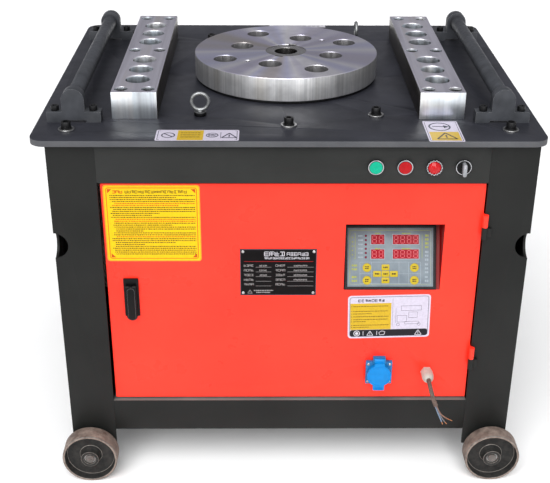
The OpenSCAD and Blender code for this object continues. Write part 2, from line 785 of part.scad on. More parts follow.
module main_shaft() {
    bore_r = pin_hole_d / 2;
    color(steel) rotate([0, 0, disc_angle]) difference() {
        rotate_extrude($fn = 96) polygon([[0, box_z0 - 8], [lower_r, box_z0 - 8], [lower_r, 640],
            [shaft_r, 640], [shaft_r, under_table + 2], [collar_r, under_table + 2],
            [collar_r, disc_z0], [head_r, disc_z0], [head_r, head_top], [0, head_top]]);
        hole_down(head_top, centre_bore_depth, bore_r, 1);
        key_slots(0);
    }
}

// Dished ring on the table that keeps scale out from under the disc
module base_ring() {
    r = disc_d / 2;
    color(dark_steel) rotate_extrude($fn = 120)
        polygon([[r - 22, table_h], [r - 3, table_h], [r - 3, table_h + 5], [r - 22, table_h + 5]]);
}

// --- gearbox, belts and motor ---

module gearbox_housing() {
    ring_r = 62;
    color(cast_grey) difference() {
        union() {
            block([-box_x, box_y0, box_z0], [box_x, box_y1, under_table - 10]);
            translate([0, 0, under_table - flange_t])
                rounded_plate(2 * flange_x, 2 * flange_y, flange_t, 20);
            for (sx = [-1, 1]) translate([0, worm_y, worm_z])
                rod("x", sx > 0 ? box_x - eps : -box_x - 12, sx > 0 ? box_x + 12 : -box_x + eps, 48);
        }
        difference() {
            block([wall - box_x, box_y0 + wall, box_z0 - eps],
                [box_x - wall, box_y1 - wall, under_table - flange_t]);
            rod("z", under_table - 50, under_table, ring_r + 14);
        }
        rod("z", under_table - 51, under_table + eps, shaft_r + 6);
        rod("z", under_table - 51, under_table - 12, ring_r);
        translate([0, worm_y, worm_z]) rod("x", -box_x - 13, box_x + 13, 36);
        for (p = SCREW_PLACES) if (abs(p[0]) < flange_x) translate([p[0], p[1], 0])
            rod("z", under_table - flange_t - eps, under_table + eps, m12_r + bolt_clear);
        for (p = EYE_PLACES) translate([p[0], p[1], 0])
            rod("z", under_table - flange_t - eps, under_table + eps, m10_r + bolt_clear);
    }
}

module gearbox_cover() {
    color(cast_grey) difference() {
        union() {
            block([-box_x, box_y0, box_z0 - 12], [box_x, box_y1, box_z0]);
            rod("z", box_z0 - 14, box_z0 + 26, 66);
        }
        rod("z", box_z0 - 10, box_z0 + 27, lower_r + 4);
        rod("z", box_z0, box_z0 + 27, 50);
    }
}

module ring(axis, from, to, r_out, r_in) {
    difference() {
        rod(axis, from, to, r_out);
        rod(axis, from - eps, to + eps, r_in);
    }
}

module gearbox_bearings() {
    color(zinc) {
        ring("z", under_table - 46, under_table - 12, 62, shaft_r + run_clear);
        ring("z", box_z0, box_z0 + 26, 50, lower_r + run_clear);
        translate([0, worm_y, worm_z]) for (x = [-box_x - 8, box_x - 9])
            ring("x", x, x + 17, 36, worm_r + run_clear);
    }
}

// Worm wheel with straight-flanked teeth; one of them lies between two turns of the worm's thread
module worm_wheel() {
    rp = wheel_teeth * gear_m / 2;
    ra = rp + gear_m * 0.9;
    rf = rp - gear_m * 1.25;
    half_tip = 360 / wheel_teeth * 0.11;
    half_root = 360 / wheel_teeth * 0.33;
    face_w = 24;
    color([0.72, 0.55, 0.25]) difference() {
        union() {
            translate([0, 0, worm_z - face_w / 2]) linear_extrude(face_w)
                polygon([for (i = [0 : wheel_teeth - 1]) let (a = 360 / wheel_teeth * i) each [
                    rf * [cos(a - half_root), sin(a - half_root)],
                    ra * [cos(a - half_tip), sin(a - half_tip)],
                    ra * [cos(a + half_tip), sin(a + half_tip)],
                    rf * [cos(a + half_root), sin(a + half_root)]]]);
            rod("z", worm_z - 22, worm_z + 30, 58);
        }
        rod("z", worm_z - 23, worm_z + 31, shaft_r + 0.02);
    }
}

// Worm shaft with a right-hand thread. At the wheel's middle the thread faces away from the wheel.
module worm_shaft() {
    root = 20;
    tip = 28.6;
    half_tip = 27;
    half_root = 113;
    turns = 6;
    step = (half_root - half_tip) / 3;
    fall = (tip - root + 1) / 3;
    rise = [for (k = [0 : 3]) [half_root - step * k, root - 1 + fall * k]];
    shape = concat([[180, root / 2]], [for (p = rise) [-p[0], p[1]]], [[0, tip]],
        [for (k = [3 : -1 : 0]) rise[k]]);
    color(steel) translate([0, worm_y, worm_z]) {
        rod("x", -box_x - 8, pulley_x + 36, worm_r);
        rod("x", -120, 120, root);
        translate([-turns / 2 * worm_pitch, 0, 0]) rotate([0, 90, 0])
            linear_extrude(turns * worm_pitch, twist = -360 * turns, slices = 16 * turns,
                segments = len(shape))
                polygon([for (p = shape) p[1] * [cos(90 + p[0]), sin(90 + p[0])]]);
    }
}

// A V-belt pulley on the X axis with one groove for each belt
module pulley(pitch_r, bore_r, hub_r) {
    r = pitch_r + 4;
    half = groove_pitch * 1.5 + 3;
    side = [for (i = BELTS) each [[i * groove_pitch - 8.5, r], [i * groove_pitch - 5.5, r - groove_depth],
        [i * groove_pitch + 5.5, r - groove_depth], [i * groove_pitch + 8.5, r]]];
    rotate([0, 90, 0]) rotate_extrude($fn = 96)
        polygon(concat([[bore_r, -half], [r, -half]], [for (p = side) [p[1], p[0]]],
            [[r, half], [bore_r, half]]));
    ring("x", half - eps, half + 6, hub_r, bore_r);
}

module driven_pulley() {
    color(cast_grey) translate([pulley_x, worm_y, worm_z])
        pulley(big_pulley_d / 2, worm_r + 0.02, 34);
}

module motor_pulley() {
    color(cast_grey) translate([pulley_x, worm_y, motor_z])
        pulley(small_pulley_d / 2, motor_shaft_r + 0.02, 26);
}

// Outline of a belt that runs on circles of radius r1 above and r2 below
function belt_line(r1, r2, steps = 32) =
    let (c = worm_z - motor_z, lean = asin((r1 - r2) / c))
    concat([for (k = [0 : steps]) let (a = -lean + (180 + 2 * lean) * k / steps) r1 * [cos(a), sin(a)]],
        [for (k = [0 : steps]) let (a = 180 + lean + (180 - 2 * lean) * k / steps)
            [r2 * cos(a), r2 * sin(a) - c]]);

module drive_belts() {
    r1 = big_pulley_d / 2 + 3.5;
    r2 = small_pulley_d / 2 + 3.5;
    color([0.07, 0.07, 0.07]) for (i = BELTS)
        translate([pulley_x + i * groove_pitch - belt_w / 2, worm_y, worm_z]) rotate([90, 0, 90])
            linear_extrude(belt_w) difference() {
                polygon(belt_line(r1, r2));
                polygon(belt_line(r1 - belt_h, r2 - belt_h));
            }
}

// Finned stator shell on two feet, with end shields, a fan cowl and a terminal box
module motor_body() {
    x0 = -150;
    x1 = 150;
    fins = 40;
    color([0.20, 0.34, 0.42]) {
        translate([0, worm_y, motor_z]) difference() {
            union() {
                rod("x", x0, x1, motor_r - 12);
                for (i = [0 : fins - 1]) rotate([360 / fins * (i + 0.5), 0, 0])
                    block([x0 + 20, -1.5, 60], [x1 - 20, 1.5, motor_r]);
                rod("x", x0 - 14, x0 + 14, motor_r);
                rod("x", x1 - 14, x1 + 10, motor_r);
                rod("x", x0 - 60, x0 - 14, motor_r - 4);
            }
            rod("x", x0 + 12, x1 - 6, 60);
            rod("x", x0 - 57, x0 - 8, motor_r - 7);
            rod("x", x0 - 9, x1 + 11, motor_shaft_r + run_clear);
        }
        for (sy = [-1, 1]) translate([0, worm_y, 0])
            block([x0 + 30, sy > 0 ? 62 : -95, floor_z], [x1 - 30, sy > 0 ? 95 : -62, motor_z - 55]);
        block([-50, worm_y - 45, motor_z + 80], [50, worm_y + 45, motor_z + 145]);
    }
}

module motor_rotor() {
    color(steel) translate([0, worm_y, motor_z]) {
        rod("x", -195, pulley_x + 34, motor_shaft_r);
        rod("x", -110, 110, 59.5);
        rod("x", -195, -175, 30);
        for (i = [0 : 5]) rotate([60 * i, 0, 0]) block([-195, -1.5, 25], [-175, 1.5, 92]);
    }
}

module electrical_box() {
    x0 = cab_x - cab_w / 2 + leg_t + 3;
    color([0.86, 0.85, 0.80]) difference() {
        block([x0, -140, 330], [x0 + 130, 160, 680]);
        block([x0 + 2, -138, 332], [x0 + 128, 158, 678]);
    }
}

table_plate();
leg_front_left();
leg_front_right();
leg_back_left();
leg_back_right();
front_top_rail();
front_bottom_rail();
side_panels();
back_panel();
base_pan();
wheel_axles();
axle_fasteners();
wheel_front_left();
wheel_front_right();
wheel_back_left();
wheel_back_right();
door_panel();
door_hinge_barrels();
frame_hinge_barrels();
lock_plate();
lock_cam();
lock_lever();
nameplate();
controller_tray();
controller_housing();
controller_panel();
socket_base();
socket_lid();
cable_gland();
power_cord();
cord_cores();
green_button();
red_button();
control_bezels();
lamp_lens();
selector_knob();
contact_blocks();
tooling_block_left();
tooling_block_right();
tooling_screws();
table_screws();
eye_bolts();
roller_left();
roller_right();
roller_brackets();
working_disc();
shaft_keys();
main_shaft();
base_ring();
gearbox_housing();
gearbox_cover();
gearbox_bearings();
worm_wheel();
worm_shaft();
driven_pulley();
drive_belts();
motor_pulley();
motor_body();
motor_rotor();
electrical_box();
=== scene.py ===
"""Blender scene of the wheeled rebar bender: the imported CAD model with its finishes, labels and detail."""

import math
import random

import bmesh
import bpy
from mathutils import Matrix, Vector


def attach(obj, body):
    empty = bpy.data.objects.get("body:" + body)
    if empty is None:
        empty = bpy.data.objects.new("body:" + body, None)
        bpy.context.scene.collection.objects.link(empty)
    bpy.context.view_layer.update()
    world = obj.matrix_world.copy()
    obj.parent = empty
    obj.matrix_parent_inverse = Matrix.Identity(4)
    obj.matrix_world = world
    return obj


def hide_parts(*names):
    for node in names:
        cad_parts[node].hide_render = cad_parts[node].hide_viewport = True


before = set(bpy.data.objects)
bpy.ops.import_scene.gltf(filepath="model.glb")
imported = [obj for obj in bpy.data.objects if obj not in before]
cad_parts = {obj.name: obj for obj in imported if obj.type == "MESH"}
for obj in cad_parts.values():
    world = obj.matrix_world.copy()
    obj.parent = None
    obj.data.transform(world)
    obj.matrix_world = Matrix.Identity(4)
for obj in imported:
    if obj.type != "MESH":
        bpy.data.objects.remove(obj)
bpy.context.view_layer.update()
MM = 0.001
TAU = 2 * math.pi


def new_object(name, data):
    obj = bpy.data.objects.new(name, data)
    bpy.context.scene.collection.objects.link(obj)
    return obj


# --- camera, at the photograph's viewing angle ---

CAMERA_AT = Vector((-0.0500, -2.2806, 1.5373))
CAMERA_YAW, CAMERA_PITCH, CAMERA_ROLL = 0.0123, 0.4704, 0.0055
CAMERA_LENS = 68.8


def make_camera():
    level = Vector((math.sin(CAMERA_YAW), math.cos(CAMERA_YAW), 0))
    side = Vector((math.cos(CAMERA_YAW), -math.sin(CAMERA_YAW), 0))
    up = Vector((0, 0, 1))
    forward = level * math.cos(CAMERA_PITCH) - up * math.sin(CAMERA_PITCH)
    above = up * math.cos(CAMERA_PITCH) + level * math.sin(CAMERA_PITCH)
    right = side * math.cos(CAMERA_ROLL) + above * math.sin(CAMERA_ROLL)
    top = above * math.cos(CAMERA_ROLL) - side * math.sin(CAMERA_ROLL)
    data = bpy.data.cameras.new("camera")
    data.lens = CAMERA_LENS
    data.sensor_width = 36
    data.clip_start = 0.05
    camera = new_object("camera", data)
    turn = Matrix((right, top, -forward)).transposed().to_4x4()
    camera.matrix_world = Matrix.Translation(CAMERA_AT) @ turn
    bpy.context.scene.camera = camera


make_camera()


# --- materials ---


def srgb(r, g, b):
    """A colour given as on a screen, 0 to 255, in the linear values that Blender wants."""
    out = []
    for v in (r, g, b):
        v /= 255
        out.append(v / 12.92 if v <= 0.04045 else ((v + 0.055) / 1.055) ** 2.4)
    return (*out, 1.0)


PLAIN_GLOSS = 0.22
WHITE = (255, 255, 255)


def shader(name, metallic=0.0, **fixed):
    """A new material with its node tree and its Principled shader. fixed sets sockets, with _ for a space."""
    m = bpy.data.materials.new(name)
    m.use_nodes = True
    tree = m.node_tree
    bsdf = tree.nodes["Principled BSDF"]
    bsdf.inputs["Metallic"].default_value = metallic
    if metallic < 0.5:
        bsdf.inputs["Specular IOR Level"].default_value = PLAIN_GLOSS
    for key, value in fixed.items():
        bsdf.inputs[key.replace("_", " ")].default_value = value
    return m, tree, bsdf


def coordinates(tree, stretch=(1, 1, 1)):
    """Object coordinates, in metres, multiplied by stretch."""
    place = tree.nodes.new("ShaderNodeTexCoord")
    mapping = tree.nodes.new("ShaderNodeMapping")
    mapping.inputs["Scale"].default_value = stretch
    tree.links.new(place.outputs["Object"], mapping.inputs["Vector"])
    return mapping.outputs["Vector"]


def noise(tree, scale, stretch=(1, 1, 1), detail=4.0):
    n = tree.nodes.new("ShaderNodeTexNoise")
    n.inputs["Scale"].default_value = scale
    n.inputs["Detail"].default_value = detail
    n.inputs["Roughness"].default_value = 0.55
    tree.links.new(coordinates(tree, stretch), n.inputs["Vector"])
    return n.outputs["Fac"]


def ramp(tree, factor, stops):
    """Colour ramp; stops are (position, colour)."""
    n = tree.nodes.new("ShaderNodeValToRGB")
    while len(n.color_ramp.elements) < len(stops):
        n.color_ramp.elements.new(0.5)
    for element, (position, colour) in zip(n.color_ramp.elements, stops):
        element.position = position
        element.color = colour
    tree.links.new(factor, n.inputs["Fac"])
    return n.outputs["Color"]


def two_tone(tree, factor, dark, light, start=0.3, end=0.7):
    return ramp(tree, factor, [(start, srgb(*dark)), (end, srgb(*light))])


def spread(tree, factor, low, high, start=0.3, end=0.7):
    """Maps start to end of factor onto low to high."""
    n = tree.nodes.new("ShaderNodeMapRange")
    n.inputs["From Min"].default_value = start
    n.inputs["From Max"].default_value = end
    n.inputs["To Min"].default_value = low
    n.inputs["To Max"].default_value = high
    tree.links.new(factor, n.inputs["Value"])
    return n.outputs["Result"]


def blend_colours(tree, factor, a, b, mode="MIX"):
    n = tree.nodes.new("ShaderNodeMix")
    n.data_type = "RGBA"
    n.blend_type = mode
    if isinstance(factor, float):
        n.inputs["Factor"].default_value = factor
    else:
        tree.links.new(factor, n.inputs["Factor"])
    tree.links.new(a, n.inputs["A"])
    tree.links.new(b, n.inputs["B"])
    return n.outputs["Result"]


def split(tree, vector):
    node = tree.nodes.new("ShaderNodeSeparateXYZ")
    tree.links.new(vector, node.inputs["Vector"])
    return node.outputs


def calculate(tree, operation, value, *constants, kind="ShaderNodeMath"):
    """The result of a Math or VectorMath node on a linked value and some constants."""
    node = tree.nodes.new(kind)
    node.operation = operation
    tree.links.new(value, node.inputs[0])
    for k, constant in enumerate(constants):
        node.inputs[k + 1].default_value = constant
    return node.outputs["Vector" if operation == "NORMALIZE" else "Value"]


def facing(tree, axis, start=0.45, end=0.75):
    """1 where a surface looks up or down the object's x, y or z axis, 0 where it looks across it."""
    place = tree.nodes.new("ShaderNodeTexCoord")
    size = calculate(tree, "ABSOLUTE", split(tree, place.outputs["Normal"])[axis])
    return spread(tree, size, 0, 1, start, end)


def add_bump(tree, bsdf, height, strength, distance):
    n = tree.nodes.new("ShaderNodeBump")
    n.inputs["Strength"].default_value = strength
    n.inputs["Distance"].default_value = distance
    tree.links.new(height, n.inputs["Height"])
    if bsdf.inputs["Normal"].is_linked:
        tree.links.new(bsdf.inputs["Normal"].links[0].from_socket, n.inputs["Normal"])
    tree.links.new(n.outputs["Normal"], bsdf.inputs["Normal"])


def finish(name, dark, light, rough, metallic=0.0, grain=35, bump=None, dust=None, ends=None, **fixed):
    """A surface whose colour drifts between dark and light and whose gloss varies.

    bump is (scale, strength, distance). dust is a colour that lies in soft patches. ends is
    (axis, dark, light) for the faces that look along an axis.
    """
    m, tree, bsdf = shader(name, metallic, **fixed)
    tone = noise(tree, grain)
    colour = two_tone(tree, tone, dark, light, 0.30, 0.72)
    if dust:
        patch = spread(tree, noise(tree, grain * 0.23, detail=6.0), 0, 0.5, 0.52, 0.8)
        fine = two_tone(tree, noise(tree, grain * 4), dust, light)
        colour = blend_colours(tree, patch, colour, fine)
    if ends:
        axis, end_dark, end_light = ends
        other = two_tone(tree, tone, end_dark, end_light, 0.30, 0.72)
        colour = blend_colours(tree, facing(tree, axis), colour, other)
    tree.links.new(colour, bsdf.inputs["Base Color"])
    gloss = spread(tree, noise(tree, grain * 2.7, detail=6.0), *rough)
    tree.links.new(gloss, bsdf.inputs["Roughness"])
    if bump:
        scale, strength, distance = bump
        add_bump(tree, bsdf, noise(tree, scale, detail=5.0), strength, distance)
    return m


def paint(name, dark, light, rough=(0.35, 0.45), peel=900, depth=0.05, coat=0.0, spec=0.2, **more):
    """Sprayed or powder paint with a fine orange peel."""
    return finish(
        name,
        dark,
        light,
        rough,
        bump=(peel, depth, 0.0004),
        Coat_Weight=coat,
        Coat_Roughness=0.12,
        Specular_IOR_Level=spec,
        **more,
    )


def plastic(name, dark, light, rough, grain, peel=900, depth=0.1):
    """Moulded plastic with a fine texture."""
    return finish(name, dark, light, rough, grain=grain, bump=(peel, depth, 0.0002))


frame_paint = paint("frame_paint", (21, 22, 21), (28, 29, 28), (0.42, 0.55), grain=7, dust=(34, 34, 33))
# The top rail gets a lighter copy of the frame paint: painted light, for how the light falls on the top rail.
painted_light_rail_top = paint("painted_light_rail_top", (33, 34, 33), (41, 42, 41), (0.42, 0.55), grain=7, dust=(48, 48, 47))
# The controller's tray, the recess behind the door's cut-out, gets a deep red: painted shade in the recess.
painted_shade_tray = paint("painted_shade_tray", (112, 5, 4), (134, 9, 7), (0.35, 0.45), grain=9, peel=420)
# The bottom rail's faces that look up or down, chiefly the ledge under the door, get a light grey: dust on
# the ledge, and a painted highlight.
rail_paint = paint(
    "rail_paint", (21, 22, 21), (28, 29, 28), (0.42, 0.55), grain=7, dust=(34, 34, 33),
    ends=("Z", (88, 88, 86), (118, 117, 114)),
)
inside_paint = paint("inside_paint", (36, 36, 37), (46, 46, 46), (0.5, 0.6), grain=9)
# The table plate's front and back edges, which look along Y, get a lighter grey: a painted highlight.
table_paint = paint(
    "table_paint", (35, 36, 42), (46, 47, 54), (0.36, 0.48), grain=11, peel=500, depth=0.03, spec=0.3,
    ends=("Y", (66, 67, 71), (80, 81, 84)),
)
door_paint = paint("door_paint", (249, 49, 33), (255, 56, 38), (0.26, 0.34), grain=5, peel=420, coat=0.12)
roller_paint = paint("roller_paint", (50, 52, 56), (66, 68, 73), (0.36, 0.52), grain=40, dust=(84, 83, 82))
# The rounded edges of the rollers and their brackets get a light grey: a painted highlight.
roller_edge_highlight = paint("roller_edge_highlight", (110, 112, 116), (156, 156, 156), (0.3, 0.45), grain=120)
motor_paint = paint("motor_paint", (66, 98, 118), (84, 116, 136), (0.35, 0.5), grain=30)
box_paint = paint("box_paint", (196, 192, 182), (214, 210, 202), (0.4, 0.5), grain=20)


def radial_tangent(tree, bsdf, axis):
    """Makes gloss spread across tool marks that run in circles about an axis."""
    tangent = tree.nodes.new("ShaderNodeTangent")
    tangent.direction_type = "RADIAL"
    tangent.axis = axis
    tree.links.new(tangent.outputs["Tangent"], bsdf.inputs["Tangent"])
    bsdf.inputs["Anisotropic Rotation"].default_value = 0.25


def tool_rings(tree, axis):
    """Fine circular tool marks about an axis."""
    wave = tree.nodes.new("ShaderNodeTexWave")
    wave.wave_type = "RINGS"
    wave.rings_direction = axis
    wave.inputs["Scale"].default_value = 300
    wave.inputs["Distortion"].default_value = 1.2
    wave.inputs["Detail"].default_value = 2.5
    wave.inputs["Detail Scale"].default_value = 0.4
    tree.links.new(coordinates(tree), wave.inputs["Vector"])
    return wave.outputs["Fac"]


def turned_steel(name, dark, light, axis, anisotropic=0.4, across=None):
    """Steel with fine circular tool marks about an axis. across is a darker tone for what faces across the
    axis: painted shade.
    """
    m, tree, bsdf = shader(name, 1.0, Anisotropic=anisotropic)
    radial_tangent(tree, bsdf, axis)
    marks = tool_rings(tree, axis)
    tone = two_tone(tree, noise(tree, 26, detail=6.0), dark, light, 0.25, 0.75)
    if across:
        tone = blend_colours(tree, facing(tree, axis), rgb_value(tree, across), tone)
    fade = two_tone(tree, marks, (226, 226, 228), WHITE, 0.0, 1.0)
    tree.links.new(blend_colours(tree, 0.8, tone, fade, "MULTIPLY"), bsdf.inputs["Base Color"])
    tree.links.new(spread(tree, noise(tree, 60, detail=6.0), 0.24, 0.34), bsdf.inputs["Roughness"])
    add_bump(tree, bsdf, marks, 0.04, 0.0002)
    return m


def around(tree, scale, detail):
    """Noise that changes only with the direction from the Z axis, so that it makes sectors on a disc."""
    unit = calculate(tree, "NORMALIZE", coordinates(tree, (1, 1, 0)), kind="ShaderNodeVectorMath")
    n = tree.nodes.new("ShaderNodeTexNoise")
    n.inputs["Scale"].default_value = scale
    n.inputs["Detail"].default_value = detail
    tree.links.new(unit, n.inputs["Vector"])
    return n.outputs["Fac"]


def rgb_value(tree, colour):
    """A plain colour as a node, to blend with others."""
    value = tree.nodes.new("ShaderNodeRGB")
    value.outputs["Color"].default_value = srgb(*colour)
    return value.outputs["Color"]


def beyond(tree, radius):
    """1 farther than radius, in mm, from the Z axis."""
    size = calculate(tree, "LENGTH", coordinates(tree, (1, 1, 0)), kind="ShaderNodeVectorMath")
    return calculate(tree, "GREATER_THAN", size, radius * MM)


RIM_METAL, TOP_METAL = 0.84, 0.93
RIM_FROM = 196
# Inside RIM_FROM the bore and the holes get a darker steel: painted shade.
BORE_SHADE = (150, 149, 150)
EYE_FOOT_TOP = 808


def disc_steel():
    """The disc: a faced top with wedge-shaped changes of tone, a painted reflection with some real machining
    tone; a turned rim with upright streaks, a painted reflection over its tool marks; and painted shade in
    the bore and holes.
    """
    m, tree, bsdf = shader("disc_steel", 1.0, Anisotropic=0.62)
    radial_tangent(tree, bsdf, "Z")
    # The top's wedge-shaped lilac and grey sectors: a painted reflection, with some real machining tone.
    top = ramp(
        tree,
        around(tree, 1.15, 1.5),
        [
            (0.34, srgb(208, 201, 203)),
            (0.44, srgb(222, 222, 246)),
            (0.50, srgb(250, 248, 253)),
            (0.56, srgb(216, 212, 232)),
            (0.66, srgb(204, 197, 194)),
        ],
    )
    # The rim's upright bright and dark streaks: a painted reflection.
    broad = ramp(
        tree,
        around(tree, 4.5, 2.0),
        [
            (0.34, srgb(214, 212, 208)),
            (0.48, srgb(246, 247, 248)),
            (0.56, srgb(*WHITE)),
            (0.66, srgb(220, 221, 222)),
        ],
    )
    fine = two_tone(tree, around(tree, 60, 4.0), (214, 214, 214), WHITE)
    rim = blend_colours(tree, 0.8, broad, fine, "MULTIPLY")
    marks = tool_rings(tree, "Z")
    fade = two_tone(tree, marks, (228, 228, 230), WHITE, 0.0, 1.0)
    # Painted shade in the bore and the holes.
    bore = rgb_value(tree, BORE_SHADE)
    side = blend_colours(tree, beyond(tree, RIM_FROM), bore, rim)
    both = blend_colours(tree, facing(tree, "Z"), side, top)
    tree.links.new(blend_colours(tree, 0.8, both, fade, "MULTIPLY"), bsdf.inputs["Base Color"])
    tree.links.new(spread(tree, noise(tree, 45, detail=6.0), 0.30, 0.40), bsdf.inputs["Roughness"])
    tree.links.new(spread(tree, facing(tree, "Z"), RIM_METAL, 1.0), bsdf.inputs["Metallic"])
    add_bump(tree, bsdf, marks, 0.04, 0.0002)
    return m


def block_steel_finish():
    """The tooling blocks: upright milling streaks on the ends, sides that look along X darkened with painted
    shade and a painted reflection of the dark table, long faint streaks on top.
    """
    m, tree, bsdf = shader("block_steel", 1.0)
    upright = (1, 1, 0.05)
    broad = ramp(
        tree,
        noise(tree, 17, upright, detail=3.0),
        [(0.36, srgb(196, 198, 202)), (0.50, srgb(226, 234, 240)), (0.62, srgb(255, 255, 255))],
    )
    fine = noise(tree, 150, upright)
    streaks = two_tone(tree, fine, (222, 222, 224), WHITE)
    ends = blend_colours(tree, 0.8, broad, streaks, "MULTIPLY")
    along = (1, 0.05, 1)
    top = ramp(
        tree,
        noise(tree, 30, along, detail=5.0),
        [(0.32, srgb(196, 193, 204)), (0.50, srgb(228, 225, 236)), (0.68, srgb(214, 209, 210))],
    )
    # The sides that look along X get a dark brown grey: painted shade, and a painted reflection of the dark
    # table.
    flank_shade = two_tone(tree, fine, (58, 54, 50), (98, 92, 86))
    sides = blend_colours(tree, facing(tree, "X", 0.90, 0.98), ends, flank_shade)
    tree.links.new(blend_colours(tree, facing(tree, "Z"), sides, top), bsdf.inputs["Base Color"])
    tree.links.new(spread(tree, facing(tree, "Z"), 1.0, TOP_METAL), bsdf.inputs["Metallic"])
    tree.links.new(spread(tree, fine, 0.30, 0.42), bsdf.inputs["Roughness"])
    add_bump(tree, bsdf, fine, 0.10, 0.0002)
    return m


def eye_finish():
    """The eye bolts: a bright forged ring on a foot that is near black below EYE_FOOT_TOP."""
    m, tree, bsdf = shader("eye_steel", 0.9)
    grain = noise(tree, 120)
    ring = two_tone(tree, grain, (120, 122, 124), (176, 178, 178))
    foot = two_tone(tree, grain, (20, 20, 22), (40, 40, 42))
    height = split(tree, coordinates(tree))["Z"]
    high = spread(tree, height, 0, 1, (EYE_FOOT_TOP - 1) * MM, (EYE_FOOT_TOP + 1) * MM)
    tree.links.new(blend_colours(tree, high, foot, ring), bsdf.inputs["Base Color"])
    tree.links.new(spread(tree, grain, 0.34, 0.50), bsdf.inputs["Roughness"])
    add_bump(tree, bsdf, noise(tree, 500), 0.25, 0.0004)
    return m


turned_disc = disc_steel()
block_steel = block_steel_finish()
# The shaft's sides, which face across its axis, get a darker tone: painted shade.
shaft_steel = turned_steel("shaft_steel", (150, 148, 146), (206, 204, 202), "Z", 0.5, across=(92, 90, 88))
key_steel = turned_steel("key_steel", (60, 60, 60), (88, 87, 86), "Z")
axle_steel = turned_steel("axle_steel", (92, 88, 84), (150, 146, 142), "Y")
inner_steel = turned_steel("inner_steel", (140, 140, 142), (205, 205, 208), "X")
bronze = turned_steel("bronze", (168, 120, 56), (222, 176, 98), "Z", 0.3)
zinc_steel = finish(
    "zinc_steel", (150, 150, 150), (206, 206, 206), (0.26, 0.42), 1.0, grain=160, bump=(700, 0.1, 0.0003)
)
eye_steel = eye_finish()
black_steel = finish(
    "black_steel", (17, 17, 18), (32, 32, 34), (0.34, 0.48), 0.5, grain=120, bump=(900, 0.1, 0.0003)
)
# A light grey for rounded edges: a painted highlight.
painted_edge_highlight = finish("painted_edge_highlight", (70, 70, 72), (120, 120, 122), (0.25, 0.4), 0.8, grain=200)
chrome = finish("chrome", (158, 158, 162), (196, 196, 200), (0.10, 0.20), 1.0, grain=90)
iron_grey = paint("iron_grey", (86, 92, 96), (112, 118, 122), (0.5, 0.65), grain=60, peel=400, depth=0.2)
belt_rubber = finish(
    "belt_rubber", (18, 18, 18), (36, 35, 34), (0.6, 0.75), grain=140, bump=(500, 0.2, 0.0004)
)
# The base ring under the disc is near black: its own dark paint, and painted shade under the disc's rim.
ring_paint_and_shade = finish("ring_paint_and_shade", (14, 14, 16), (28, 28, 30), (0.25, 0.4), 0.3, grain=70)

# The wheels stand WHEEL_REACH to either side of WHEEL_MIDDLE
WHEEL_MIDDLE = 11.5
WHEEL_REACH = 443.5
WHEEL_HEIGHT = 60
TREAD_R = 55.5


def tread_share(tree):
    """1 on the tread and the rim's edge of any of the four wheels, 0 inside the rim."""
    place = split(tree, coordinates(tree))

    def away(value, middle):
        """How far a value, in metres, is from a middle, in mm."""
        return calculate(tree, "ABSOLUTE", calculate(tree, "SUBTRACT", value, middle * MM))

    across = away(away(place["X"], WHEEL_MIDDLE), WHEEL_REACH)
    up = away(place["Z"], WHEEL_HEIGHT)
    total = tree.nodes.new("ShaderNodeMath")
    total.operation = "ADD"
    tree.links.new(calculate(tree, "POWER", across, 2), total.inputs[0])
    tree.links.new(calculate(tree, "POWER", up, 2), total.inputs[1])
    reach = calculate(tree, "SQRT", total.outputs["Value"])
    return calculate(tree, "GREATER_THAN", reach, TREAD_R * MM)


def wheel_finish():
    """Cast iron: a worn, lightly rusted tread, and a dark dish with a rubbed boss."""
    m = finish(
        "wheel_iron", (98, 84, 77), (152, 136, 126), (0.5, 0.7), 0.15, grain=60,
        bump=(300, 0.35, 0.0006), dust=(120, 84, 70),
    )
    tree = m.node_tree
    bsdf = tree.nodes["Principled BSDF"]
    tread = bsdf.inputs["Base Color"].links[0].from_socket
    dish = two_tone(tree, noise(tree, 90), (30, 31, 31), (56, 54, 52), 0.3, 0.75)
    tree.links.new(blend_colours(tree, tread_share(tree), dish, tread), bsdf.inputs["Base Color"])
    return m


wheel_iron = wheel_finish()
wheel_edge = finish(
    "wheel_edge", (92, 88, 84), (140, 134, 128), (0.35, 0.5), 0.4, grain=120, bump=(400, 0.2, 0.0004)
)
black_plastic = plastic("black_plastic", (20, 20, 22), (34, 34, 36), (0.4, 0.55), 200, 1500, 0.15)
knob_plastic = plastic("knob_plastic", (122, 124, 128), (150, 152, 156), (0.3, 0.4), 220, 1200)
blue_plastic = plastic("blue_plastic", (2, 116, 186), (8, 130, 202), (0.28, 0.4), 60)
blue_base = plastic("blue_base", (30, 98, 150), (50, 120, 172), (0.34, 0.46), 60)
gland_plastic = plastic("gland_plastic", (160, 154, 146), (184, 178, 170), (0.4, 0.52), 80)
cord_rubber = finish(
    "cord_rubber", (78, 64, 58), (110, 94, 86), (0.5, 0.65), grain=200, bump=(900, 0.25, 0.0003)
)
green_plastic = finish("green_plastic", (0, 146, 114), (0, 168, 134), (0.2, 0.3), grain=60)
red_plastic = finish("red_plastic", (152, 6, 14), (170, 10, 18), (0.2, 0.3), grain=60)
lamp_plastic = finish("lamp_plastic", (164, 8, 14), (188, 16, 26), (0.08, 0.14), grain=60, Coat_Weight=0.25)
panel_film = plastic("panel_film", (104, 114, 122), (126, 136, 142), (0.30, 0.42), 30, 1200, 0.06)
plate_black = finish("plate_black", (7, 5, 6), (13, 10, 11), (0.4, 0.5), grain=80, Specular_IOR_Level=0.1)
lock_black = finish("lock_black", (9, 9, 10), (16, 16, 17), (0.36, 0.48), grain=120, Specular_IOR_Level=0.15)


